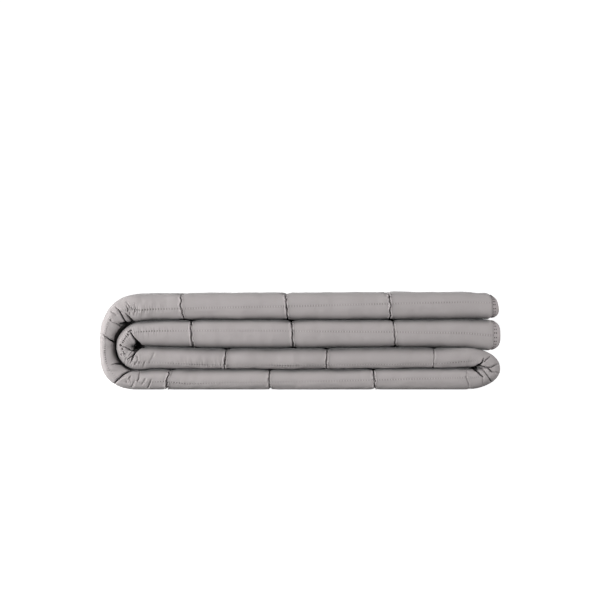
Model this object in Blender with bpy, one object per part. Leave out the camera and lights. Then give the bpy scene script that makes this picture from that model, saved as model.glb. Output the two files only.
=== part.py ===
"""A weighted blanket, quilted in square pockets and folded away.

Two panels of cloth are sewn together over their filling, pocket by pocket, and a narrow binding closes the
edge all round. The blanket is folded once across its width, with that fold to the front, and the doubled
strip is then laid back and forth in four layers. X runs to the right, Y to the back and Z up, and the
origin is at the bottom centre. Sizes are in millimetres until the meshes are made, in metres.
"""

import math
from collections import namedtuple

import bmesh
import bpy
import numpy as np

COLLECTION = "weighted_blanket"
BODY = "quilted_body"
BINDING = "edge_binding"
METRES = 0.001

# Quilting: the seams run in lines along and across the blanket.
POCKETS_ACROSS = 12
POCKET = 124.5
SHOULDER = 15.0
LONG_SEAM_DIP = 3.4
FRONT_LONG_DIP = 0.4
INNER_DIP = 2.4

# The doubled strip: its two halves lie a slit apart, and its layers a gap apart.
SLIT = 1.0
LAYER_GAP = 1.0
FRONT_ROUND = 14.0
FRONT_SQUARE = 2.3
FRONT_ARC = 0.5 * math.pi * FRONT_ROUND
FRONT_STEPS = 4

# The blanket's edge and its binding.
EDGE_THICKNESS = 5.0
EDGE_FULLNESS = 0.56
UPPER_END_FULLNESS = 0.72
LOWER_END_FULLNESS = 0.80
FULL_END_LENGTH = 120.0
FULL_END_REACH = 40.0
EDGE_PILLOW = 14.0
EDGE_ROUND = 5.0
END_BOW = 9.0
BOW_POWER = 4
BOW_START = 10.0
BINDING_WIDTH = 9.0
BINDING_THICKNESS = 5.2
BINDING_LIP = 2.8
BINDING_NOSE = 2.0
BINDING_GAP = 0.3

# Fineness of the meshes.
NEAREST_LINES = 5.0
SAMPLES = 200

# Heights between the layers, at six places from left to right.
LEVEL_X = (-190.0, -110.0, 0.0, 110.0, 200.0, 226.0)
LEVELS = {
    "top": (115.4, 116.4, 116.6, 117.4, 117.4, 116.0),
    "under_first": (84.0, 84.9, 83.9, 84.4, 85.0, 84.8),
    "under_second": (52.3, 50.0, 49.9, 51.2, 50.8, 46.8),
    "under_third": (24.9, 24.7, 24.3, 25.2, 26.0, 26.0),
    "floor": (0.0, 0.0, 0.0, 0.0, 0.0, 0.0),
}

# The strip from its upper loose end to its lower one. A layer has its right-hand and left-hand face, as seen
# along the strip, each with a level and the side of the gap that it lies on. A fold turns on the line x, and
# its seams are in degrees from where it starts. The dip is how far the seams there draw the cloth in.
Layer = namedtuple("Layer", "name x_start x_end right right_side left left_side dip seams")
Fold = namedtuple(
    "Fold",
    "name x side outer z_middle reach square_start square_end inner_z inner_reach steps dip seams",
)
STRIP = (
    Layer("first_layer", 232.0, -192.0, "top", 0, "under_first", 1, 3.2, (108.7, -15.7, -142.5)),
    Fold("outer_fold", -192.0, -1, "right", 54.2, 49.6, 2.34, 2.8, 54.4, 31.2, 14, 1.5, (82.0,)),
    Layer("fourth_layer", -192.0, 199.3, "floor", 0, "under_third", -1, 2.8, (-159.5, -36.2, 89.4)),
    Fold("right_fold", 199.3, 1, "right", 24.9, 42.3, 2.0, 2.15, 25.9, 18.0, 12, 0.8, (7.0,)),
    Layer("third_layer", 199.3, -192.0, "under_second", -1, "under_third", 1, 2.8, (161.9, 31.4, -89.4)),
    Fold("inner_fold", -192.0, -1, "left", 54.2, 29.6, 2.0, 2.0, 52.2, 9.0, 9, 1.5, (41.0,)),
    Layer("second_layer", -192.0, 232.3, "under_second", 1, "under_first", -1, 3.2, (-130.5, -9.7, 113.6)),
)

HALF_WIDTH = 0.5 * POCKETS_ACROSS * POCKET
DEPTH = HALF_WIDTH - FRONT_ARC + FRONT_ROUND + BINDING_GAP + BINDING_WIDTH
ARC_Y = FRONT_ROUND - 0.5 * DEPTH

CLOTH_COLOUR = (0.386, 0.362, 0.353, 1.0)
BINDING_COLOUR = (0.372, 0.338, 0.337, 1.0)
CLOTH_ROUGHNESS = 0.82


def clear_scene():
    for old in list(bpy.data.objects):
        bpy.data.objects.remove(old, do_unlink=True)


def cloth_material(name, colour):
    material = bpy.data.materials.new(name)
    material.use_nodes = True
    shader = material.node_tree.nodes["Principled BSDF"]
    shader.inputs["Base Color"].default_value = colour
    shader.inputs["Roughness"].default_value = CLOTH_ROUGHNESS
    shader.inputs["Metallic"].default_value = 0.0
    material.diffuse_color = colour
    return material


def level(name, side, x):
    """Height of a layer's face at x, half a gap above or below the line between two layers."""
    return float(np.interp(x, LEVEL_X, LEVELS[name])) + 0.5 * side * LAYER_GAP


def layer_rib(layer, share):
    x = layer.x_start + (layer.x_end - layer.x_start) * share
    right = (x, level(layer.right, layer.right_side, x))
    left = (x, level(layer.left, layer.left_side, x))
    return right, left


def bulge(fold, z_start, z_end, z_middle, reach, squares, share):
    """A point on one side of a fold, between the two layers that it joins."""
    angle = math.pi * share
    square, z_near = (squares[0], z_start) if share < 0.5 else (squares[1], z_end)
    out = max(math.sin(angle), 0.0) ** (2.0 / square)
    up = abs(math.cos(angle)) ** (2.0 / square)
    return fold.x + fold.side * reach * out, z_middle + (z_near - z_middle) * up


def fold_rib(fold, start, end, share):
    """The right and left points of a fold, from its layers' last and first ribs."""
    squares = (fold.square_start, fold.square_end)
    sides = {}
    for name, z_start, z_end in (("right", start[0][1], end[0][1]), ("left", start[1][1], end[1][1])):
        if name == fold.outer:
            sides[name] = bulge(fold, z_start, z_end, fold.z_middle, fold.reach, squares, share)
        else:
            sides[name] = bulge(fold, z_start, z_end, fold.inner_z, fold.inner_reach, (2.0, 2.0), share)
    return sides["right"], sides["left"]


def lay_strip():
    """Sample the strip's ribs, and find the place of each seam and fold along it."""
    ribs = []
    seams = []
    folds = []
    length = 0.0
    for index, part in enumerate(STRIP):
        shares = np.linspace(0.0, 1.0, SAMPLES + 1)
        if isinstance(part, Layer):
            pairs = [layer_rib(part, share) for share in shares]
            outer = 0
        else:
            start = layer_rib(STRIP[index - 1], 1.0)
            end = layer_rib(STRIP[index + 1], 0.0)
            pairs = [fold_rib(part, start, end, share) for share in shares]
            outer = 0 if part.outer == "right" else 1
        edge = np.array([pair[outer] for pair in pairs])
        steps = np.hypot(*np.diff(edge, axis=0).T)
        places = length + np.concatenate(([0.0], np.cumsum(steps)))
        if isinstance(part, Layer):
            span = part.x_end - part.x_start
            seam_shares = [(x - part.x_start) / span for x in part.seams]
        else:
            seam_shares = [degrees / 180.0 for degrees in part.seams]
            folds.append((float(places[0]), float(places[-1]), part.steps))
        seams.extend((float(np.interp(share, shares, places)), part.dip) for share in seam_shares)
        first = 1 if ribs else 0
        for place, pair in list(zip(places, pairs))[first:]:
            ribs.append((place, *pair[0], *pair[1]))
        length = float(places[-1])
    return np.array(ribs), seams, folds


RIBS, CROSS_SEAMS, FOLDS = lay_strip()
LENGTH = float(RIBS[-1, 0])


def rib(along):
    """Right and left points of the strip, which runs straight on past its loose ends."""
    inside = min(max(along, 0.0), LENGTH)
    values = [float(np.interp(inside, RIBS[:, 0], RIBS[:, column])) for column in range(1, 5)]
    past = abs(along - inside)
    return np.array((values[0] + past, values[1])), np.array((values[2] + past, values[3]))


def half_height(along):
    right, left = rib(along)
    return 0.5 * float(np.hypot(*(left - right)))


def end_bow(along, share):
    """The loose ends are drawn back above and below their middle height."""
    from_end = min(along, LENGTH - along)
    weight = max(BOW_START - from_end, 0.0) / (BOW_START + BINDING_GAP + BINDING_WIDTH)
    return END_BOW * weight * weight * (2.0 * share - 1.0) ** BOW_POWER


def fold_over(along, across, fullness):
    """Lay a point of the flat blanket in its folds.

    along is the distance from the first end seam, across the distance from the middle seam, and fullness
    is 1 on the outside of the doubled strip and 0 at its middle.
    """
    if abs(across) < FRONT_ARC:
        angle = 0.5 * math.pi * across / FRONT_ARC
        power = 2.0 / FRONT_SQUARE
        lift = math.copysign(abs(math.sin(angle)) ** power, angle)
        y = ARC_Y - FRONT_ROUND * fullness * math.cos(angle) ** power
    else:
        lift = math.copysign(1.0, across)
        y = ARC_Y + abs(across) - FRONT_ARC
    share = 0.5 + 0.5 * fullness * lift
    right, left = rib(along)
    x, z = right + (left - right) * share
    return (x - end_bow(along, share)) * METRES, y * METRES, z * METRES


def near_share(distance, reach):
    """1 on a line and 0 at its reach and beyond."""
    return max(0.0, 1.0 - max(distance, 0.0) / reach)


def edge_share(distance):
    """A rounded end to the last pocket: 0 inside it and 1 at the blanket's edge."""
    near = near_share(distance, EDGE_PILLOW)
    return 1.0 - math.sqrt(1.0 - near * near)


def edge_fullness(along, across):
    """Fullness of the blanket's edge, which is greater where the loose ends go round the front fold."""
    full = UPPER_END_FULLNESS if along < 0.5 * LENGTH else LOWER_END_FULLNESS
    near_end = near_share(min(along, LENGTH - along), FULL_END_REACH)
    near_front = near_share(abs(across) - FRONT_ARC, FULL_END_LENGTH)
    return EDGE_FULLNESS + (full - EDGE_FULLNESS) * near_end * near_front


def cross_seam(along):
    """How near the closest cross seam is, from 0 to 1, and its dip."""
    place, dip = min(CROSS_SEAMS, key=lambda seam: abs(along - seam[0]))
    return near_share(abs(along - place), SHOULDER), dip


def pocket_dip(along, across):
    """How far the outer cloth is drawn in by its seams."""
    cross, dip = cross_seam(along)
    lines = range(1, POCKETS_ACROSS // 2)
    long_ways = max(near_share(abs(abs(across) - line * POCKET), SHOULDER) for line in lines)
    middle = FRONT_LONG_DIP if across == 0.0 else 0.0
    return max(cross * dip, long_ways * LONG_SEAM_DIP, middle)


def body_fullness(along, across, inner):
    """Fullness of the outer or inner cloth, with its dips and its rounded edge."""
    half = half_height(along)
    edge = edge_share(min(along, LENGTH - along, HALF_WIDTH - abs(across)))
    rim = 0.5 * EDGE_THICKNESS / half
    sewn = edge_fullness(along, across)
    if inner:
        plain = (0.5 * SLIT + INNER_DIP * cross_seam(along)[0]) / half
        return plain + (sewn - rim - plain) * edge
    plain = 1.0 - pocket_dip(along, across) / half
    return plain + (sewn + rim - plain) * edge


def thin_lines(fixed, extra):
    """Add each extra line that isn't too close to one already there."""
    lines = sorted(fixed)
    for line in extra:
        if min(abs(line - other) for other in lines) >= NEAREST_LINES:
            lines.append(line)
    return sorted(lines)


def lines_along():
    fixed = [0.0, EDGE_ROUND, EDGE_PILLOW, LENGTH - EDGE_PILLOW, LENGTH - EDGE_ROUND, LENGTH]
    for place, _ in CROSS_SEAMS:
        fixed.extend((place - SHOULDER, place, place + SHOULDER))
    extra = []
    for start, end, steps in FOLDS:
        extra.extend(start + (end - start) * step / steps for step in range(steps + 1))
    return thin_lines(fixed, extra)


def lines_across():
    half = [FRONT_ARC * step / FRONT_STEPS for step in range(1, FRONT_STEPS + 1)]
    for pocket in range(1, POCKETS_ACROSS // 2):
        half.extend((pocket * POCKET - SHOULDER, pocket * POCKET, pocket * POCKET + SHOULDER))
    half.extend((HALF_WIDTH - EDGE_PILLOW, HALF_WIDTH - EDGE_ROUND, HALF_WIDTH))
    return [-line for line in reversed(half)] + [0.0] + half


def inner_lines(across_lines):
    """The hidden slit is smooth across the blanket, so its cloth needs only these lines."""
    kept = (0.0, FRONT_ARC, HALF_WIDTH - EDGE_PILLOW, HALF_WIDTH - EDGE_ROUND, HALF_WIDTH)
    return {number for number, line in enumerate(across_lines) if abs(line) in kept}


def make_object(name, bm, material, collection):
    mesh = bpy.data.meshes.new(name)
    bmesh.ops.recalc_face_normals(bm, faces=bm.faces)
    bm.to_mesh(mesh)
    bm.free()
    mesh.materials.append(material)
    mesh.shade_smooth()
    made = bpy.data.objects.new(name, mesh)
    collection.objects.link(made)
    return made


def make_body(along_lines, across_lines, collection):
    """The blanket as a flat grid with two faces, thinned on its inner face and laid in its folds."""
    columns = len(along_lines) - 1
    rows = len(across_lines) - 1
    bm = bmesh.new()
    bmesh.ops.create_grid(bm, x_segments=columns, y_segments=rows, size=0.5)
    outer = bmesh.ops.extrude_face_region(bm, geom=bm.faces[:], use_keep_orig=True)["geom"]
    raised = [item for item in outer if isinstance(item, bmesh.types.BMVert)]
    bmesh.ops.translate(bm, vec=(0.0, 0.0, 1.0), verts=raised)
    place = {}
    for vertex in bm.verts:
        x, y, z = vertex.co
        place[vertex] = (round((x + 0.5) * columns), round((y + 0.5) * rows), z < 0.5)
    kept = inner_lines(across_lines)
    spare = []
    for edge in bm.edges:
        first, second = place[edge.verts[0]], place[edge.verts[1]]
        if first[2] and second[2] and first[1] == second[1] and first[1] not in kept:
            spare.append(edge)
    for vertex, (column, row, inner) in place.items():
        along, across = along_lines[column], across_lines[row]
        vertex.co = fold_over(along, across, body_fullness(along, across, inner))
    bmesh.ops.dissolve_edges(bm, edges=spare, use_verts=True)
    wide = [face for face in bm.faces if len(face.verts) > 4]
    bmesh.ops.triangulate(bm, faces=wide, ngon_method="BEAUTY")
    return make_object(BODY, bm, cloth_material("quilted_cloth", CLOTH_COLOUR), collection)


def binding_section():
    """The binding's section: distance out from the blanket's edge, and height off its middle."""
    half = 0.5 * BINDING_THICKNESS
    nose = 0.5 * BINDING_NOSE
    outside = BINDING_GAP + BINDING_WIDTH
    upper = ((BINDING_GAP, half), (outside - BINDING_LIP, half), (outside, nose))
    return upper + tuple((out, -height) for out, height in reversed(upper))


def binding_stations(along_lines, across_lines):
    """Once round the blanket's edge: the place on the edge, and the way out from it."""
    stations = []
    top = along_lines[-1]
    side = across_lines[-1]
    for line in along_lines[:-1]:
        stations.append((line, -side, -1.0 if line == 0.0 else 0.0, -1.0))
    for line in across_lines[:-1]:
        stations.append((top, line, 1.0, -1.0 if line == -side else 0.0))
    for line in reversed(along_lines[1:]):
        stations.append((line, side, 1.0 if line == top else 0.0, 1.0))
    for line in reversed(across_lines[1:]):
        stations.append((0.0, line, -1.0, 1.0 if line == side else 0.0))
    return stations


def make_binding(along_lines, across_lines, collection):
    """A closed ring of binding, laid along the blanket's edge in the same folds."""
    stations = binding_stations(along_lines, across_lines)
    section = binding_section()
    bpy.ops.mesh.primitive_torus_add(
        major_segments=len(stations), minor_segments=len(section), major_radius=1.0, minor_radius=0.1
    )
    ring = bpy.context.object
    bm = bmesh.new()
    bm.from_mesh(ring.data)
    bpy.data.objects.remove(ring, do_unlink=True)
    bm.verts.ensure_lookup_table()
    for number, (along, across, out_along, out_across) in enumerate(stations):
        for point, (out, height) in enumerate(section):
            line = along + out_along * out
            fullness = edge_fullness(line, across) + height / half_height(line)
            vertex = bm.verts[number * len(section) + point]
            vertex.co = fold_over(line, across + out_across * out, fullness)
    return make_object(BINDING, bm, cloth_material("binding_cloth", BINDING_COLOUR), collection)


def main():
    clear_scene()
    collection = bpy.data.collections.new(COLLECTION)
    bpy.context.scene.collection.children.link(collection)
    along_lines = lines_along()
    across_lines = lines_across()
    make_body(along_lines, across_lines, collection)
    make_binding(along_lines, across_lines, collection)


main()
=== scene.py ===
"""Looks of a folded weighted blanket.

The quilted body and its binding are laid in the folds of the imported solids, with finer seams, puckers and
creases, their stitches and their cloth. Along is the distance down the doubled strip from its upper loose
end, and across is the distance from the seam on its front fold, below 0 on the right-hand side of the
strip. Lengths are in millimetres until a mesh is made, in metres. X is right, Y is back and Z is up.
"""

import math
from collections import namedtuple

import bmesh
import bpy
import numpy as np
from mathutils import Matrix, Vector
from mathutils.bvhtree import BVHTree


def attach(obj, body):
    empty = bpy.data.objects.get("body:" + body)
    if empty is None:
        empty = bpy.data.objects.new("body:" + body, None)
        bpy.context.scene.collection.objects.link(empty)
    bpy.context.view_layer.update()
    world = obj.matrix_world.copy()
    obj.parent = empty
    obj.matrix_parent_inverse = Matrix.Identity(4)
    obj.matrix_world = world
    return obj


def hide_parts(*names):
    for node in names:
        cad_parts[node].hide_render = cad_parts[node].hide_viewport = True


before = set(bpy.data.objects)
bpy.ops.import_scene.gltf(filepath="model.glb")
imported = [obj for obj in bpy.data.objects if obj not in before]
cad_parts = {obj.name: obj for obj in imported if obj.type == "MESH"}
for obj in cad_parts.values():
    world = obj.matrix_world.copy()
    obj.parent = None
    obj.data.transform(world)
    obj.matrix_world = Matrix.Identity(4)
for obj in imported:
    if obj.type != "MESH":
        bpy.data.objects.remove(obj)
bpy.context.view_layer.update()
METRES = 0.001

# Quilting: the seams run in lines along and across the blanket.
POCKETS_ACROSS = 12
POCKET = 124.5
LONG_SEAM_DIP = 3.4
INNER_DIP = 2.4

# The doubled strip: its two halves lie a slit apart, and its layers a gap apart.
SLIT = 1.0
LAYER_GAP = 0.5
FRONT_ROUND = 14.0
FRONT_SQUARE = 2.3
FRONT_ARC = 0.5 * math.pi * FRONT_ROUND

# The blanket's edge and its binding.
EDGE_THICKNESS = 5.0
EDGE_FULLNESS = 0.56
UPPER_END_FULLNESS = 0.72
LOWER_END_FULLNESS = 0.80
FULL_END_LENGTH = 240.0
FULL_END_REACH = 40.0
EDGE_PILLOW = 5.0
END_BOW = 9.0
BOW_POWER = 4
BOW_START = 10.0
UPPER_END_SHORT = 1.6
UPPER_END_LEAN = 5.0
LOWER_END_SHORT = 1.0
BINDING_WIDTH = 9.0
BINDING_THICKNESS = 5.2
TAPE_THICKNESS = 0.6
BINDING_GAP = 0.3
CORNER_POWER = 4

# The tape's faces round the edge: how far out from its start, and how high as a share of half its thickness.
TAPE_OUTSIDE = (
    (0.0, 0.90),
    (0.25, 1.08),
    (0.9, 1.10),
    (1.6, 0.93),
    (2.8, 1.06),
    (4.2, 0.92),
    (5.4, 1.04),
    (6.8, 0.96),
    (BINDING_WIDTH - 1.1, 0.74),
    (BINDING_WIDTH - 0.3, 0.42),
    (BINDING_WIDTH, 0.0),
)
TAPE_INSIDE = ((0.0, 0.90), (4.2, 0.90), (BINDING_WIDTH - 2.0, 0.60))

# Heights between the layers, at seven places from left to right.
LEVEL_X = (-191.0, -177.0, -110.0, 0.0, 110.0, 200.0, 226.0)
LEVELS = {
    "top": (115.4, 115.6, 116.4, 116.6, 117.4, 117.4, 116.0),
    "under_first": (82.2, 83.4, 84.6, 83.9, 84.4, 85.0, 84.8),
    "under_second": (52.2, 52.0, 50.0, 49.9, 51.2, 50.8, 46.8),
    "under_third": (23.5, 24.8, 24.7, 24.3, 25.2, 26.0, 26.0),
    "floor": (0.0, 0.0, 0.0, 0.0, 0.0, 0.0, 0.0),
}

# The strip from its upper loose end to its lower one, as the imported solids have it. Each part is sampled at
# this many steps, and has the depth that its cross seams dip to and their places, in X or in degrees.
PART_STEPS = 200
Layer = namedtuple("Layer", "name x_start x_end right right_side left left_side dip seams")
Fold = namedtuple(
    "Fold",
    "name x side outer z_middle reach square_start square_end "
    "inner_z inner_reach inner_start inner_end dip seams",
)
STRIP = (
    Layer("first_layer", 232.0, -192.0, "top", 0, "under_first", 1, 3.2, (108.7, -15.7, -142.5)),
    Fold("outer_fold", -192.0, -1, "right", 54.2, 49.6, 2.34, 2.8, 54.4, 31.2, 1.9, 2.3, 0.5, (82.0,)),
    Layer("fourth_layer", -192.0, 199.3, "floor", 0, "under_third", -1, 2.8, (-159.5, -36.2, 89.4)),
    Fold("right_fold", 199.3, 1, "right", 24.9, 42.3, 2.0, 2.15, 25.9, 18.0, 2.0, 2.0, 0.6, (7.0,)),
    Layer("third_layer", 199.3, -192.0, "under_second", -1, "under_third", 1, 2.8, (161.9, 31.4, -89.4)),
    Fold("inner_fold", -192.0, -1, "left", 54.2, 29.6, 2.2, 1.8, 52.2, 9.0, 2.0, 2.0, 0.6, (41.0,)),
    Layer("second_layer", -192.0, 232.3, "under_second", 1, "under_first", -1, 3.2, (-130.5, -9.7, 113.6)),
)

HALF_WIDTH = 0.5 * POCKETS_ACROSS * POCKET
DEPTH = HALF_WIDTH - FRONT_ARC + FRONT_ROUND + BINDING_GAP + BINDING_WIDTH
ARC_Y = FRONT_ROUND - 0.5 * DEPTH

# Each cross seam wanders as it goes round the front: how far along the strip it is off its place on the
# right-hand side, at the front and on the left-hand side, and how sharply its groove is drawn in.
WANDER_REACH = 45.0
WANDER_FADE = 60.0
Seam = namedtuple("Seam", "right front left sharpness")
SEAM_WANDER = (
    Seam(0.0, 0.0, 0.0, 0.0),
    Seam(3.3, 0.4, 0.0, 1.0),
    Seam(2.2, 0.2, -1.6, 0.8),
    Seam(1.0, -0.4, -4.8, 0.8),
    Seam(0.0, 0.0, 0.0, 0.3),
    Seam(-0.8, 0.0, 5.3, 1.0),
    Seam(1.0, -0.5, 0.0, 0.6),
    Seam(0.8, -0.1, -1.7, 0.7),
    Seam(0.0, -3.5, -3.5, 0.18),
    Seam(0.4, 1.4, 1.9, 0.25),
    Seam(-1.3, -0.6, -1.0, 0.6),
    Seam(-2.4, 1.1, 1.6, 0.9),
    Seam(0.0, 0.0, 0.0, 0.3),
    Seam(3.5, -0.2, 0.4, 0.8),
    Seam(2.3, 0.3, -0.5, 0.8),
    Seam(1.7, 0.0, -2.2, 0.5),
    Seam(0.0, 0.0, 0.0, 0.0),
)

# The long seam on the front fold rises and sinks on its way: place along the strip, distance across.
FRONT_SEAM = (
    (15.0, -3.4),
    (275.0, 0.3),
    (365.0, 1.6),
    (425.0, 2.0),
    (470.0, -3.0),
    (517.0, -1.7),
    (580.0, -3.0),
    (633.0, -1.7),
    (657.0, -5.1),
    (689.0, -3.5),
    (996.0, 1.9),
    (1056.0, 0.0),
    (1140.0, 8.0),
    (1402.0, 8.4),
    (1481.0, 4.7),
    (1548.0, 3.0),
    (1583.0, 2.2),
    (1642.0, 2.8),
    (1751.0, 2.9),
    (1998.0, 0.0),
)

# Seam shapes: a broad shoulder that the filling rounds, a narrow groove at its foot, and beside the groove
# the rolled edge of the seam. At the front the cloth is drawn tight, and the shoulder is lower there.
SHOULDER = 11.0
SHOULDER_SHARE = 0.66
SHOULDER_AT_FRONT = 0.34
GROOVE_REACH = 0.72
GROOVE_DEPTH = 2.6
GROOVE_POWER = 1.3
GROOVE_CROOKED = 0.8
GROOVE_CROOK_PITCH = 7.5
PINCH_SPREAD = 0.45
LONG_GROOVE_REACH = 1.9
LONG_GROOVE_DEPTH = 1.5
LONG_GROOVE_POWER = 1.5
ROLL_OFFSET = 1.8
ROLL_REACH = 0.8
ROLL_HEIGHT = 1.5
LEFT_ROLL_SHARE = 0.85
FRONT_GROOVE_REACH = 2.4
FRONT_GROOVE_DEPTH = 0.2

# Fineness of the body's mesh. A zone is a stretch along and across with its own size of cell.
CELLS_PER_POCKET = 4
HIDDEN_CELL = 31.2
LONGEST_EDGE = 1.3
FINEST_ROUNDS = 7
SEAM_CELL = 0.97
SEAM_CELL_REACH = 4.0
FINEST_CELL = 0.49
FINEST_SEAM_REACH = 2.3
FINEST_FRONT_SHARE = 0.8
POCKET_MIDDLE_CELL = 7.8
POCKET_RIM = 11.5
CREASE_CELL_REACH = 0.9
WIDE_CREASE = 2.1
FRONT_ZONE = 17.5
CONTACT_ZONE = 24.0
EDGE_ZONE = 15.6
END_ZONE = 24.0
PAST_PILLOW = 3.0
PAST_EDGE = 1.0
Zone = namedtuple("Zone", "start end right left cell")

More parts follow.
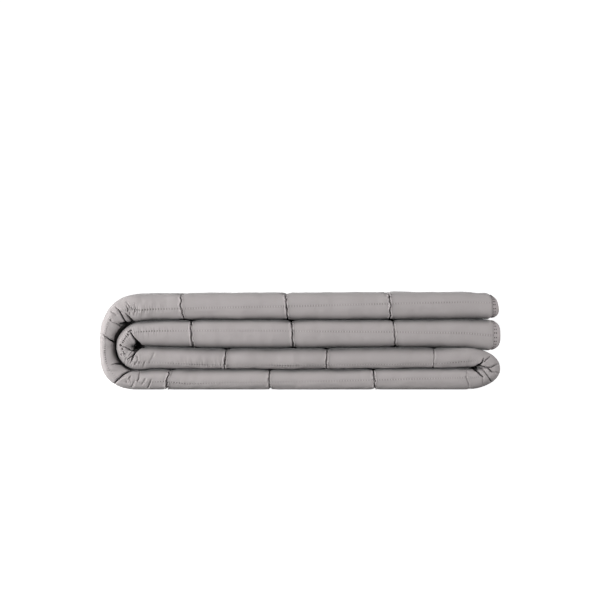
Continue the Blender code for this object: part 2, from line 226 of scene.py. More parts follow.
# Creases, as seen from the front: each has its depth and half width at its two ends, how much wider it is on
# the left of its way than on the right, the stretch of the strip that it lies on, and its points in X and Z.
OUTER = (300.0, 800.0)
INNER = (1350.0, 1750.0)
THIRD = (1140.0, 1480.0)
RIGHT = (940.0, 1200.0)
Crease = namedtuple("Crease", "depths widths lean stretch points")
CREASES = tuple(Crease(*row) for row in (
    # The round outside of the outer fold, from its top down to the floor.
    ((1.2, 5.0), (0.7, 0.9), 1.0, OUTER, ((-222.9, 99.6), (-219.4, 96.6), (-216.7, 92.8))),
    ((5.0, 11.0), (0.7, 0.9), 0.8, OUTER, ((-216.7, 92.8), (-214.0, 87.3), (-211.2, 82.8), (-208.4, 78.6))),
    ((1.5, 9.0), (0.9, 4.6), 0.12, OUTER, ((-210.2, 92.2), (-204.4, 86.2), (-199.2, 80.6))),
    ((3.0, 17.0), (0.7, 1.9), 0.4, OUTER, ((-205.2, 86.4), (-202.0, 83.2), (-199.6, 80.8))),
    ((12.0, 16.0), (1.2, 1.9), 1.0, OUTER, ((-216.6, 78.5), (-213.4, 78.6), (-210.2, 79.4))),
    ((16.0, 14.0), (1.6, 1.4), 1.0, OUTER, ((-211.6, 77.6), (-207.6, 78.4), (-202.0, 80.2))),
    ((1.0, 6.0), (0.8, 1.1), 1.0, OUTER, ((-226.2, 81.3), (-220.6, 79.0), (-217.2, 75.8), (-213.6, 74.6))),
    ((2.5, 2.5), (0.7, 0.7), 1.0, OUTER, ((-228.8, 84.1), (-227.9, 82.7))),
    ((0.6, 4.5), (0.8, 0.8), 1.0, OUTER, ((-240.5, 66.3), (-236.8, 65.7), (-233.5, 62.8))),
    ((4.5, 9.0), (0.8, 1.2), 1.0, OUTER, ((-233.5, 62.8), (-229.2, 60.0), (-224.8, 57.8))),
    ((1.0, 1.8), (0.9, 0.8), 1.0, OUTER, ((-227.6, 94.0), (-222.6, 90.6))),
    ((1.2, 2.4), (0.8, 0.7), 0.6, OUTER, ((-209.9, 106.0), (-206.6, 101.8), (-205.2, 99.6))),
    ((1.2, 2.8), (0.8, 0.8), 1.0, OUTER, ((-209.5, 101.8), (-207.6, 98.2), (-207.9, 94.6))),
    ((1.3, 1.3), (0.9, 0.9), 1.0, OUTER, ((-200.0, 102.9), (-198.4, 98.0), (-199.4, 93.9), (-200.2, 90.6))),
    ((1.4, 1.0), (0.7, 0.7), 1.0, OUTER, ((-203.2, 99.4), (-201.7, 96.6))),
    ((1.3, 1.0), (0.7, 0.7), 1.0, OUTER, ((-205.4, 93.0), (-205.4, 90.6))),
    ((1.2, 9.0), (0.7, 1.0), 1.0, OUTER, ((-227.8, 29.4), (-222.8, 31.2), (-216.6, 31.6))),
    ((9.0, 12.0), (1.0, 1.4), 1.0, OUTER, ((-216.6, 31.6), (-213.8, 31.2))),
    ((0.8, 1.2), (1.2, 1.0), 1.0, OUTER, ((-231.6, 22.2), (-224.7, 21.7), (-211.8, 22.2))),
    ((8.0, 7.0), (0.8, 1.0), 1.2, OUTER, ((-202.4, 23.4), (-208.4, 21.6), (-213.8, 17.8))),
    ((7.0, 3.5), (1.0, 0.6), 1.2, OUTER, ((-213.8, 17.8), (-216.2, 15.5), (-220.6, 11.1), (-224.4, 6.8))),
    # Where the outer fold parts from the inner one.
    ((4.0, 6.0), (1.0, 1.3), 1.0, OUTER, ((-223.6, 56.6), (-222.0, 64.4), (-217.6, 71.6), (-210.4, 78.0))),
    ((4.0, 5.0), (0.9, 1.1), 1.0, OUTER, ((-221.6, 44.8), (-217.2, 34.6), (-209.6, 26.4), (-202.6, 23.6))),
    ((5.0, 4.0), (1.0, 0.7), 1.0, OUTER, ((-202.6, 23.6), (-195.2, 22.4), (-189.0, 23.4))),
    # Small folds that the front seam gathers below the outer fold.
    ((1.8, 1.6), (1.1, 1.0), 0.7, OUTER, ((-204.4, 15.9), (-206.2, 13.3), (-204.9, 10.9))),
    ((1.0, 1.2), (1.0, 0.9), 1.0, OUTER, ((-209.7, 11.7), (-209.2, 7.9))),
    ((1.4, 2.2), (1.1, 1.0), 0.7, OUTER, ((-193.0, 20.3), (-194.6, 17.0), (-194.4, 13.3), (-196.3, 9.8))),
    ((1.4, 1.0), (1.1, 1.0), 1.0, OUTER, ((-200.0, 9.5), (-201.7, 5.8), (-203.3, 3.0))),
    ((1.3, 1.1), (1.1, 1.0), 1.0, OUTER, ((-187.1, 12.2), (-190.4, 6.8))),
    ((1.2, 1.7), (1.1, 1.1), 0.7, OUTER, ((-179.5, 11.1), (-182.8, 3.0))),
    # The inner fold and the two pockets beside it.
    ((4.5, 4.5), (1.1, 1.1), 1.0, INNER, ((-216.8, 53.6), (-216.0, 53.3))),
    ((1.8, 7.0), (0.7, 0.8), 1.0, INNER, ((-213.6, 52.3), (-208.0, 49.8), (-202.4, 46.8), (-200.4, 47.6))),
    ((6.0, 14.0), (1.0, 1.8), 1.0, INNER, ((-198.6, 59.4), (-197.4, 56.0), (-196.8, 53.4))),
    ((14.0, 7.0), (2.2, 1.0), 1.0, INNER, ((-196.8, 53.4), (-199.2, 50.8), (-201.6, 47.6))),
    ((14.0, 14.0), (1.5, 1.1), 1.0, INNER, ((-196.8, 53.0), (-193.5, 52.4), (-189.6, 51.8))),
    ((9.0, 6.0), (1.7, 1.2), 1.0, INNER, ((-194.4, 51.2), (-198.4, 48.4), (-200.2, 46.2))),
    ((3.5, 11.0), (0.7, 1.2), 0.7, INNER, ((-191.4, 50.9), (-195.4, 48.5))),
    ((11.0, 7.0), (1.2, 0.9), 0.7, INNER, ((-195.4, 48.5), (-199.2, 44.3))),
    ((7.0, 1.8), (0.9, 0.7), 1.0, INNER, ((-199.2, 44.3), (-203.3, 39.9), (-208.4, 36.2))),
    ((7.0, 2.0), (0.9, 0.7), 1.0, INNER, ((-199.2, 44.3), (-201.7, 39.7), (-203.3, 35.4), (-204.9, 32.1))),
    ((4.5, 12.0), (0.7, 1.1), 1.0, INNER, ((-204.4, 68.5), (-200.6, 62.6), (-197.0, 57.6), (-193.2, 53.6))),
    # Small folds that the front seam gathers right of the inner fold.
    ((1.6, 1.8), (1.1, 1.0), 0.7, INNER, ((-196.3, 40.4), (-195.7, 34.3), (-199.0, 30.6))),
    ((0.9, 1.0), (1.3, 1.2), 1.0, THIRD, ((-176.4, 43.5), (-179.0, 37.0), (-182.8, 31.7))),
    ((1.2, 1.0), (1.0, 1.0), 1.0, INNER, ((-187.1, 33.8), (-189.3, 27.3))),
    ((1.6, 1.6), (0.9, 0.9), 1.0, INNER, ((-193.7, 33.2), (-193.4, 32.6))),
    # Needle holes that the inner fold pulls open.
    ((3.6, 3.2), (0.7, 0.6), 1.0, INNER, ((-203.6, 71.9), (-207.4, 69.4))),
    ((3.6, 3.6), (0.8, 0.8), 1.0, INNER, ((-208.0, 66.8), (-207.6, 66.2))),
    ((2.2, 2.2), (0.6, 0.6), 1.0, INNER, ((-209.8, 64.2), (-209.4, 63.8))),
    ((2.0, 2.0), (0.6, 0.6), 1.0, INNER, ((-211.4, 61.8), (-211.0, 61.4))),
    ((2.0, 2.0), (0.6, 0.6), 1.0, INNER, ((-212.8, 59.4), (-212.4, 59.0))),
    ((2.2, 2.2), (0.6, 0.6), 1.0, INNER, ((-214.2, 57.0), (-213.8, 56.6))),
    ((2.4, 2.4), (0.7, 0.7), 1.0, INNER, ((-214.5, 48.8), (-214.0, 48.2))),
    ((2.4, 2.4), (0.6, 0.6), 1.0, INNER, ((-213.2, 45.6), (-212.8, 45.2))),
    ((2.4, 2.4), (0.7, 0.7), 1.0, INNER, ((-212.0, 43.4), (-211.4, 43.0))),
    ((1.6, 1.6), (0.6, 0.6), 1.0, INNER, ((-215.9, 42.2), (-215.5, 41.8))),
    # The right fold: creases that meet where the lowest layers part.
    ((10.5, 1.8), (1.3, 0.8), 1.0, RIGHT, ((215.6, 28.3), (219.4, 31.5), (220.9, 33.8), (221.9, 37.4))),
    ((4.5, 2.2), (0.8, 0.7), 1.0, RIGHT, ((223.5, 34.4), (229.0, 39.7))),
    (
        (9.0, 2.0), (1.2, 0.8), 1.0, RIGHT,
        ((215.6, 28.3), (222.6, 26.8), (227.2, 26.0), (231.8, 26.8), (235.1, 29.1), (240.6, 31.5)),
    ),
    (
        (5.0, 1.2), (1.0, 0.8), 1.0, RIGHT,
        ((227.7, 25.5), (231.3, 21.7), (234.1, 20.4), (237.9, 20.4), (240.2, 19.0)),
    ),
    ((4.0, 11.0), (0.8, 1.3), 1.0, RIGHT, ((206.9, 25.6), (212.3, 27.2), (216.0, 28.4))),
    ((9.0, 4.0), (1.4, 0.8), 1.0, RIGHT, ((211.2, 25.2), (214.3, 22.7), (217.4, 18.7), (220.9, 15.3))),
    ((2.2, 3.5), (0.7, 0.8), 1.0, RIGHT, ((220.3, 25.0), (225.4, 18.5), (229.0, 12.9), (231.3, 9.3))),
    ((1.1, 0.6), (0.8, 0.7), 1.0, RIGHT, ((220.9, 15.3), (221.0, 10.6), (220.8, 4.7))),
    ((1.1, 0.9), (0.9, 0.9), 1.0, RIGHT, ((200.6, 15.6), (203.0, 9.0), (204.6, 4.6))),
))
CREASE_POWER = 1.6
CREASE_LIP = 0.25
LIP_PLACE = 2.4
LIP_CAP = 3.0
CREASE_STRAIGHT = 1.5
FRONT_FADE = 8.0

# Painted shade, which darkens the cloth's colour: the depth of crease at which it starts and is full, how
# light it leaves the cloth, and where it lies on the cloth that turns in against the next layer, by the
# distance from the front seam.
HOLLOW_START = 1.5
HOLLOW_FULL = 6.0
HOLLOW_SHADE = 0.12
CONTACT_FROM = 6.5
CONTACT_FULL = 16.5
CONTACT_IN_FOLD = 0.3
CONTACT_FADE = 30.0
CONTACT_END_SHARE = 0.4

# Puckers that the front seam gathers: place along the strip, reach, depth, pitch, and how far the finest
# ones run from the seam.
PUCKER_LENGTH = 6.0
PUCKER_STRETCH = 0.22
CLUSTER_LENGTH = 1.3 * PUCKER_LENGTH
CLUSTER_STRETCH = 0.25
CLUSTER_SLANT = 0.25
Puckers = namedtuple("Puckers", "place reach depth pitch length")
PUCKERS = (
    Puckers(420.0, 45.0, 0.55, 5.2, 2.6),
    Puckers(517.0, 60.0, 0.30, 4.2, 2.6),
    Puckers(648.0, 50.0, 0.35, 5.0, 2.6),
    Puckers(1319.0, 46.0, 0.15, 3.8, 2.2),
    Puckers(1420.0, 60.0, 0.45, 5.0, 2.6),
    Puckers(1535.0, 75.0, 0.60, 4.2, 11.0),
    Puckers(1600.0, 40.0, 0.50, 3.8, 3.0),
    Puckers(1100.0, 30.0, 0.40, 4.6, 2.6),
)
PUCKER_EVERYWHERE = 0.12
PUCKER_PITCH = 4.4

# Soft unevenness of the filling, which fades towards the blanket's edge and where layers touch.
RELIEF_FADE = 6.0
FILLING_LUMP = 0.5
FILLING_SIZE = 46.0
CONTACT_REACH = 6.0
PULL_DEPTH = 0.24
PULL_PITCH = 9.0
PULL_LENGTH_SHARE = 0.1

# Stitches: where a row of them runs, how long and thick they are, and how far apart.
STITCH_PITCH = 3.2
STITCH_LENGTH = 1.9
STITCH_RADIUS = 0.22
STITCH_SIDES = 6
STITCH_RINGS = 4
STITCH_LIFT = 0.3
FRONT_STITCH_REACH = 26.0
STITCH_MARGIN = 4.0
OUTER_STITCH_STOP = 30.0
RIGHT_STITCH_START = 15.0
# Needle holes, darkened with painted shade: their radius, how far out as a share of it the shade fades, how
# light they leave the cloth where the seam is gathered, and how much they darken it where it is not.
HOLE_RADIUS = 0.65
HOLE_RIM = 1.8
HOLE_SHADE = 0.15
HOLE_AT_REST = 0.12
GATHER_HEIGHT = 0.55
GATHER_LENGTH = 2.6
GATHER_PATCH = 70.0
GATHER_WANDER = 2.0
GATHER_WANDER_PITCH = 12.0
GATHER_EVERYWHERE = 0.25
BINDING_ROWS = (1.2, 3.5)
BINDING_PITCH = 4.0
BINDING_CORNER_STEPS = 6
BINDING_STITCH_PITCH = 3.4
BINDING_STITCH_CORNER_STEPS = 2
BINDING_STITCH_LENGTH = 2.0
BINDING_STITCH_RADIUS = 0.55
BINDING_STITCH_HEIGHT = 0.93

# Loose pockets of cloth that are swelled on their seams, for the wrinkles of the open pockets.
SWELLED_POCKETS = 4
SWELLED_CELLS = 44
SWELLED_GAP = 60.0
SEWN_RIM = 0.1
START_LUMP = 0.8
START_SIZE = 18.0
START_SHIFT = 400.0
SWELL_SETTINGS = {
    "quality": 6,
    "mass": 0.15,
    "tension_stiffness": 25.0,
    "compression_stiffness": 25.0,
    "shear_stiffness": 10.0,
    "bending_stiffness": 0.3,
    "vertex_group_mass": "sewn",
    "shrink_min": -0.035,
    "use_pressure": True,
    "uniform_pressure_force": 3.0,
}
SWELL_FRAMES = 26
SWELL_SMOOTHING = 7
WRINKLE_SHARE = 0.7
WRINKLE_CAP = 1.5
WRINKLE_AT_FRONT = 0.3

# What is random is a sum of waves, with pitches between two shares of its size. Each use has its own seed,
# and each cluster of puckers adds its number to its seed.
UNEVEN_WAVES = 14
UNEVEN_PITCHES = (0.6, 1.6)
FILLING_SEED = 3
PULL_SEED = 4
CROOK_SEED = 5
PINCH_SEED = 6
PATCH_SEED = 7
GATHER_SEED = 8
PUCKER_SEED = 11
CLUSTER_SEED = 20
SWELL_SEED = 30
PICK_SEED = 40

# Cloths: their two tones, and the width of their threads. The weave repeats after about two threads. Wave
# textures turn by 20 radians in each unit of length.
WAVE_RADIANS = 20.0
Cloth = namedtuple("Cloth", "name colour shade roughness sheen thread")
QUILT_CLOTH = Cloth("quilt_cloth", (0.386, 0.358, 0.357, 1.0), (0.366, 0.338, 0.338, 1.0), 0.86, 0.2, 0.5)
BINDING_SATIN = Cloth("binding_satin", (0.425, 0.388, 0.390, 1.0), (0.390, 0.352, 0.355, 1.0), 0.7, 0.1, 0.45)
SHEEN_ROUGHNESS = 0.55
CLOTH_SPECULAR = 0.25
WEAVE_REPEAT = 1.974
WEAVE_DISTORTION = 1.2
WEAVE_BUMP = 0.35
WEAVE_HEIGHT = 0.2
NAP_SCALE = 900.0
CLOUD_SCALE = 26.0
TONE_DETAIL = 3.0
NAP_SHARE = 0.45
GATHER_DISTORTION = 1.6
GATHER_DETAIL_SCALE = 0.4

# Threads: how far their tone spreads from stitch to stitch, and their twisted plies.
Thread = namedtuple("Thread", "name colour")
QUILTING_THREAD = Thread("quilting_thread", (0.500, 0.475, 0.465))
BINDING_THREAD = Thread("binding_thread", (0.035, 0.031, 0.030))
THREAD_ROUGHNESS = 0.6
THREAD_TONE_SIZE = 6.0
THREAD_TONE_SPREAD = 0.15
PLY_PITCH = 0.4
PLY_HEIGHT = 0.05

# Stage: a floor that glows a little, and square lamps that all face the front of the blanket.
WHITE = (1.0, 1.0, 1.0, 1.0)
FLOOR_COLOUR = (0.90, 0.90, 0.90, 1.0)
FLOOR_ROUGHNESS = 0.9
FLOOR_GLOW = 0.85
FLOOR_REACH = 14.0
FLOOR_DROP = 0.0005
Softbox = namedtuple("Softbox", "name place power")
SOFTBOXES = (
    Softbox("key_light", (-1.8, -2.15, 0.32), 74.0),
    Softbox("side_light", (-2.2, -0.45, 0.20), 54.0),
    Softbox("fill_light", (2.1, -1.1, 0.38), 26.0),
)
SOFTBOX_SIZE = 1.0
SOFTBOX_TARGET = (0.0, -0.35, 0.06)

# Light from each height, from straight below at 0 to straight above at 1.
STUDIO_LIGHT = ((0.0, 0.14), (0.48, 0.20), (0.50, 0.30), (0.60, 0.27), (0.76, 0.16), (1.0, 0.18))

# What the backdrop adds at each height, and how far round it reaches, as the Y of a direction.
BACKDROP_LIGHT = ((0.485, 0.0), (0.492, 0.8), (0.605, 0.8), (0.67, 0.0))
BACKDROP_FROM = -0.75
BACKDROP_TO = 0.2

# Camera: level, straight on to the front fold.
LENS = 85.0
SENSOR = 36.0
CAMERA_DISTANCE = 1.711
CAMERA_HEIGHT = 0.1081


def between(ends, share):
    """A value this share of the way from the first of two to the second."""
    return ends[0] + (ends[1] - ends[0]) * share


def level(name, side, x):
    """Height of a layer's face at x, half a gap above or below the line between two layers."""
    return float(np.interp(x, LEVEL_X, LEVELS[name])) + 0.5 * side * LAYER_GAP


def layer_rib(layer, share):
    """The right and left points of a layer, a share of the way along it."""
    x = between((layer.x_start, layer.x_end), share)
    right = (x, level(layer.right, layer.right_side, x))
    left = (x, level(layer.left, layer.left_side, x))
    return right, left


def bulge(fold, z_start, z_end, z_middle, reach, squares, share):
    """A point on one side of a fold, between the two layers that it joins."""
    angle = math.pi * share
    square, z_near = (squares[0], z_start) if share < 0.5 else (squares[1], z_end)
    out = max(math.sin(angle), 0.0) ** (2.0 / square)
    up = abs(math.cos(angle)) ** (2.0 / square)
    return fold.x + fold.side * reach * out, z_middle + (z_near - z_middle) * up


def fold_rib(fold, start, end, share):
    """The right and left points of a fold, from its layers' last and first ribs."""
    squares = (fold.square_start, fold.square_end)
    sides = {}
    for name, z_start, z_end in (("right", start[0][1], end[0][1]), ("left", start[1][1], end[1][1])):
        if name == fold.outer:
            sides[name] = bulge(fold, z_start, z_end, fold.z_middle, fold.reach, squares, share)
        else:
            inner_squares = (fold.inner_start, fold.inner_end)
            sides[name] = bulge(fold, z_start, z_end, fold.inner_z, fold.inner_reach, inner_squares, share)
    return sides["right"], sides["left"]


def lay_strip():
    """Sample the strip's ribs, and find the place of each seam and part along it."""
    ribs = []
    seams = []
    spans = {}
    length = 0.0
    for index, part in enumerate(STRIP):
        shares = np.linspace(0.0, 1.0, PART_STEPS + 1)
        if isinstance(part, Layer):
            pairs = [layer_rib(part, share) for share in shares]
            outer = 0
        else:
            start = layer_rib(STRIP[index - 1], 1.0)
            end = layer_rib(STRIP[index + 1], 0.0)
            pairs = [fold_rib(part, start, end, share) for share in shares]
            outer = 0 if part.outer == "right" else 1
        edge = np.array([pair[outer] for pair in pairs])
        steps = np.hypot(*np.diff(edge, axis=0).T)
        places = length + np.concatenate(([0.0], np.cumsum(steps)))
        spans[part.name] = (float(places[0]), float(places[-1]))
        if isinstance(part, Layer):
            span = part.x_end - part.x_start
            seam_shares = [(x - part.x_start) / span for x in part.seams]
        else:
            seam_shares = [degrees / 180.0 for degrees in part.seams]
        seams.extend((float(np.interp(share, shares, places)), part.dip) for share in seam_shares)
        first = 1 if ribs else 0
        for place, pair in list(zip(places, pairs))[first:]:
            ribs.append((place, *pair[0], *pair[1]))
        length = float(places[-1])
    return np.array(ribs), seams, spans


RIBS, CROSS_SEAMS, SPANS = lay_strip()
LENGTH = float(RIBS[-1, 0])
SEAM_PLACES = np.array([0.0] + [place for place, _ in CROSS_SEAMS] + [LENGTH])
SEAM_DIPS = np.array([CROSS_SEAMS[0][1]] + [dip for _, dip in CROSS_SEAMS] + [CROSS_SEAMS[-1][1]])

TOP_END = SPANS["outer_fold"][0]
NEAR_EDGE = HALF_WIDTH - EDGE_ZONE
BEYOND = HALF_WIDTH + PAST_EDGE
PILLOW_END = EDGE_PILLOW + PAST_PILLOW
ZONES = (
    Zone(*SPANS["outer_fold"], -BEYOND, BEYOND, 15.6),
    Zone(*SPANS["right_fold"], -BEYOND, BEYOND, 15.6),
    Zone(*SPANS["inner_fold"], -BEYOND, BEYOND, 15.6),
    Zone(0.0, TOP_END, -HALF_WIDTH, -FRONT_ARC, 3.9),
    Zone(*SPANS["outer_fold"], -HALF_WIDTH, -FRONT_ARC, 3.9),
    Zone(*SPANS["right_fold"], -HALF_WIDTH, -FRONT_ARC, 3.9),
    Zone(0.0, LENGTH, -FRONT_ZONE, FRONT_ZONE, 1.95),
    Zone(0.0, LENGTH, -CONTACT_ZONE, CONTACT_ZONE, 3.9),
    Zone(0.0, LENGTH, -BEYOND, -NEAR_EDGE, 3.9),
    Zone(0.0, LENGTH, NEAR_EDGE, BEYOND, 3.9),
    Zone(-PAST_EDGE, PILLOW_END, -HALF_WIDTH, HALF_WIDTH, 3.9),
    Zone(LENGTH - PILLOW_END, LENGTH + PAST_EDGE, -HALF_WIDTH, HALF_WIDTH, 3.9),
    Zone(-PAST_EDGE, END_ZONE, -HALF_WIDTH, HALF_WIDTH, 7.8),
    Zone(LENGTH - END_ZONE, LENGTH + PAST_EDGE, -HALF_WIDTH, HALF_WIDTH, 7.8),
)


def ribs_at(along):
    """Right and left points of the strip, which runs straight on past its loose ends."""
    inside = np.clip(along, 0.0, LENGTH)
    past = np.abs(along - inside)
    columns = [np.interp(inside, RIBS[:, 0], RIBS[:, column]) for column in range(1, 5)]
    right_x, right_z, left_x, left_z = columns
    return np.stack((right_x + past, right_z), axis=-1), np.stack((left_x + past, left_z), axis=-1)


def half_height(along):
    """Half of the doubled strip's thickness."""
    right, left = ribs_at(along)
    return 0.5 * np.hypot(*(left - right).T)


def from_end(along):
    """Distance to the closer loose end."""
    return np.minimum(along, LENGTH - along)


def from_edge(along, across):
    """Distance to the closest edge of the flat blanket."""
    return np.minimum(from_end(along), HALF_WIDTH - np.abs(across))


def near_share(distance, reach):
    """1 on a line and 0 at its reach and beyond."""
    return np.clip(1.0 - np.maximum(distance, 0.0) / reach, 0.0, 1.0)


def eased(near):
    """The same from 0 to 1, but level at both ends."""
    return np.sin(0.5 * math.pi * near) ** 2


def hump(distance, reach):
    """1 on a line, and less and less on both sides of it."""
    return np.exp(-((distance / reach) ** 2))


def end_bow(along, share):
    """The loose ends are drawn back above and below their middle height, the upper one more at its top."""
    weight = np.maximum(BOW_START - from_end(along), 0.0) / (BOW_START + BINDING_GAP + BINDING_WIDTH)
    bow = END_BOW * (2.0 * share - 1.0) ** BOW_POWER
    upper = UPPER_END_SHORT + UPPER_END_LEAN * (1.0 - share) ** 2
    bow += np.where(along < 0.5 * LENGTH, upper, LOWER_END_SHORT)
    return bow * weight * weight


def wandering(along, across):
    """Where a point of the sewing pattern goes once its seams wander."""
    moved = along.copy()
    sides = (-FRONT_ARC, 0.0, FRONT_ARC)
    fade = np.clip(1.0 - (np.abs(across) - FRONT_ARC) / WANDER_FADE, 0.0, 1.0)
    for place, seam in zip(SEAM_PLACES, SEAM_WANDER):
        near = np.clip(1.0 - np.abs(along - place) / WANDER_REACH, 0.0, 1.0)
        shift = np.interp(across, sides, (seam.right, seam.front, seam.left))
        moved += shift * fade * eased(near)
    places, heights = zip(*FRONT_SEAM)
    near_front = np.cos(0.5 * math.pi * np.clip(across / FRONT_ARC, -1.0, 1.0)) ** 2
    return moved, across + np.interp(along, places, heights) * near_front


def fold_over(along, across, fullness):
    """Lay points of the flat blanket in its folds, in millimetres.

    Fullness is 1 on the outside of the doubled strip and 0 at its middle.
    """
    along, across = wandering(along, across)
    power = 2.0 / FRONT_SQUARE
    angle = 0.5 * math.pi * np.clip(across / FRONT_ARC, -1.0, 1.0)
    lift = np.sign(angle) * np.abs(np.sin(angle)) ** power
    y = ARC_Y - FRONT_ROUND * fullness * np.abs(np.cos(angle)) ** power
    y += np.maximum(np.abs(across) - FRONT_ARC, 0.0)
    share = 0.5 + 0.5 * fullness * lift
    right, left = ribs_at(along)
    point = right + (left - right) * share[:, None]
    return np.stack((point[:, 0] - end_bow(along, share), y, point[:, 1]), axis=-1)


def rounded(near):
    """A quarter round: 0 where near is 0 and 1 where near is 1."""
    return 1.0 - np.sqrt(1.0 - near * near)


def edge_fullness(along, across):
    """Fullness of the blanket's edge, which is greater where the loose ends go round the front fold."""
    full = np.where(along < 0.5 * LENGTH, UPPER_END_FULLNESS, LOWER_END_FULLNESS)
    near_end = near_share(from_end(along), FULL_END_REACH)
    near_front = near_share(np.abs(across) - FRONT_ARC, FULL_END_LENGTH)
    return EDGE_FULLNESS + (full - EDGE_FULLNESS) * near_end * near_front


def nearest_cross_seam(along):
    """Distance to the closest cross seam, and its dip."""
    distances = np.abs(along[:, None] - SEAM_PLACES[None, :])
    closest = distances.argmin(axis=1)
    return distances[np.arange(len(along)), closest], SEAM_DIPS[closest]


def long_seam_distance(across):
    """Distance to the closest long seam, apart from the one on the front fold."""
    lines = np.clip(np.round(np.abs(across) / POCKET), 1, POCKETS_ACROSS // 2)
    return np.abs(np.abs(across) - lines * POCKET)


def uneven(seed, along, across, size):
    """Soft hills and hollows of about this size, mostly from -1 to 1."""
    chance = np.random.default_rng(seed)
    total = np.zeros_like(along)
    for _ in range(UNEVEN_WAVES):
        heading = chance.uniform(0.0, math.tau)
        turn = chance.uniform(0.0, math.tau)
        pitch = size * chance.uniform(*UNEVEN_PITCHES)
        total += np.sin(math.tau * (along * math.cos(heading) + across * math.sin(heading)) / pitch + turn)
    return total / math.sqrt(2.0 * UNEVEN_WAVES)


def pocket_dip(along, across):
    """How far the outer cloth is drawn in by its seams, without their narrow grooves."""
    cross_distance, dip = nearest_cross_seam(along)
    loose_end = from_end(along) < SHOULDER
    dip = np.where(loose_end, dip * (1.0 - near_share(np.abs(across) - FRONT_ARC, FULL_END_LENGTH)), dip)
    round_front = np.clip(np.abs(across) / FRONT_ARC, 0.0, 1.0) ** 2
    drawn = SHOULDER_AT_FRONT + (1.0 - SHOULDER_AT_FRONT) * round_front
    cross = rounded(near_share(cross_distance, SHOULDER)) * dip * drawn
    long_ways = rounded(near_share(long_seam_distance(across), SHOULDER)) * LONG_SEAM_DIP
    return SHOULDER_SHARE * np.maximum(cross, long_ways)


def body_fullness(along, across, outer):
    """Fullness of the outer or inner cloth, with its dips and its rounded edge."""
    half = half_height(along)
    edge = rounded(near_share(from_edge(along, across), EDGE_PILLOW))
    rim = 0.5 * EDGE_THICKNESS / half
    cross_distance, _ = nearest_cross_seam(along)
    inner = (0.5 * SLIT + INNER_DIP * near_share(cross_distance, SHOULDER)) / half
    plain = np.where(outer, 1.0 - pocket_dip(along, across) / half, inner)
    sewn = edge_fullness(along, across) + np.where(outer, rim, -rim)
    return plain + (sewn - plain) * edge


def along_crease(crease, x, z):
    """Distance of points from a crease, whether they lie left of its way, and their share of it."""
    points = np.array(crease.points)
    lengths = np.hypot(*np.diff(points, axis=0).T)
    starts = np.concatenate(([0.0], np.cumsum(lengths)))
    distance = np.full(len(x), np.inf)
    share = np.zeros(len(x))
    on_left = np.zeros(len(x), bool)
    for first, second, length, start in zip(points[:-1], points[1:], lengths, starts):
        way = (second - first) / length
        step = np.clip((x - first[0]) * way[0] + (z - first[1]) * way[1], 0.0, length)
        away = np.hypot(x - first[0] - way[0] * step, z - first[1] - way[1] * step)
        closer = away < distance
        distance = np.where(closer, away, distance)
        share = np.where(closer, (start + step) / starts[-1], share)
        left = way[0] * (z - first[1]) - way[1] * (x - first[0]) > 0.0
        on_left = np.where(closer, left, on_left)
    return distance, on_left, share


def seen_from_front(points):
    """X and Z of points as they look from the camera, on the plane of the front arcs' middle."""
    size = CAMERA_DISTANCE / (CAMERA_DISTANCE + (points[:, 1] - ARC_Y) * METRES)
    height = CAMERA_HEIGHT / METRES
    return points[:, 0] * size, height + (points[:, 2] - height) * size


def crease_relief(along, across, x, z):
    """Depth of the creases on the front, with the soft lips that they push up."""
    depth = np.zeros(len(x))
    front = near_share(np.abs(across) - FRONT_ARC, FRONT_FADE)
    for crease in CREASES:
        low, high = crease.stretch
        on = np.flatnonzero((along > low) & (along < high) & (front > 0.0))
        distance, on_left, share = along_crease(crease, x[on], z[on])
        deep = between(crease.depths, share)
        wide = between(crease.widths, share)
        wide = np.where(on_left, wide * crease.lean, wide)
        trough = np.exp(-((distance / wide) ** CREASE_POWER))
        lip = CREASE_LIP * hump(distance - LIP_PLACE * wide, wide)
        found = (deep * trough - np.minimum(deep, LIP_CAP) * lip) * front[on]
        depth[on] = np.where(found > 0.0, np.maximum(depth[on], found), depth[on] + found)
    return depth


def pucker_relief(along, across):
    """Short puckers across the front seam, thick where the folds gather it."""
    wave = uneven(PUCKER_SEED, along, PUCKER_STRETCH * across, PUCKER_PITCH)
    relief = PUCKER_EVERYWHERE * wave * hump(across, PUCKER_LENGTH)
    for number, cluster in enumerate(PUCKERS):
        near = eased(near_share(np.abs(along - cluster.place), cluster.reach))
        slanted = along + CLUSTER_SLANT * across
        ripple = uneven(CLUSTER_SEED + number, slanted, CLUSTER_STRETCH * across, cluster.pitch)
        relief += cluster.depth * near * hump(across, CLUSTER_LENGTH) * ripple
    return relief


def gather(along, across):
    """How far the front seam gathers the cloth here, from 0 to about 1."""
    patchy = 0.5 + 0.5 * uneven(PATCH_SEED, along, 0.0 * across, GATHER_PATCH)
    slanted = across - GATHER_WANDER * uneven(GATHER_SEED, along, 0.0 * across, GATHER_WANDER_PITCH)
    gathered = GATHER_EVERYWHERE * patchy * hump(slanted, GATHER_LENGTH)
    for cluster in PUCKERS:
        near = eased(near_share(np.abs(along - cluster.place), cluster.reach))
        gathered = np.maximum(gathered, (0.5 + 0.5 * patchy) * near * hump(slanted, cluster.length))
    return np.clip(gathered, 0.0, 1.0)


def crook(along, across):
    """How far a cross seam's groove is off its line, so that it runs crooked."""
    return GROOVE_CROOKED * uneven(CROOK_SEED, along, across, GROOVE_CROOK_PITCH)


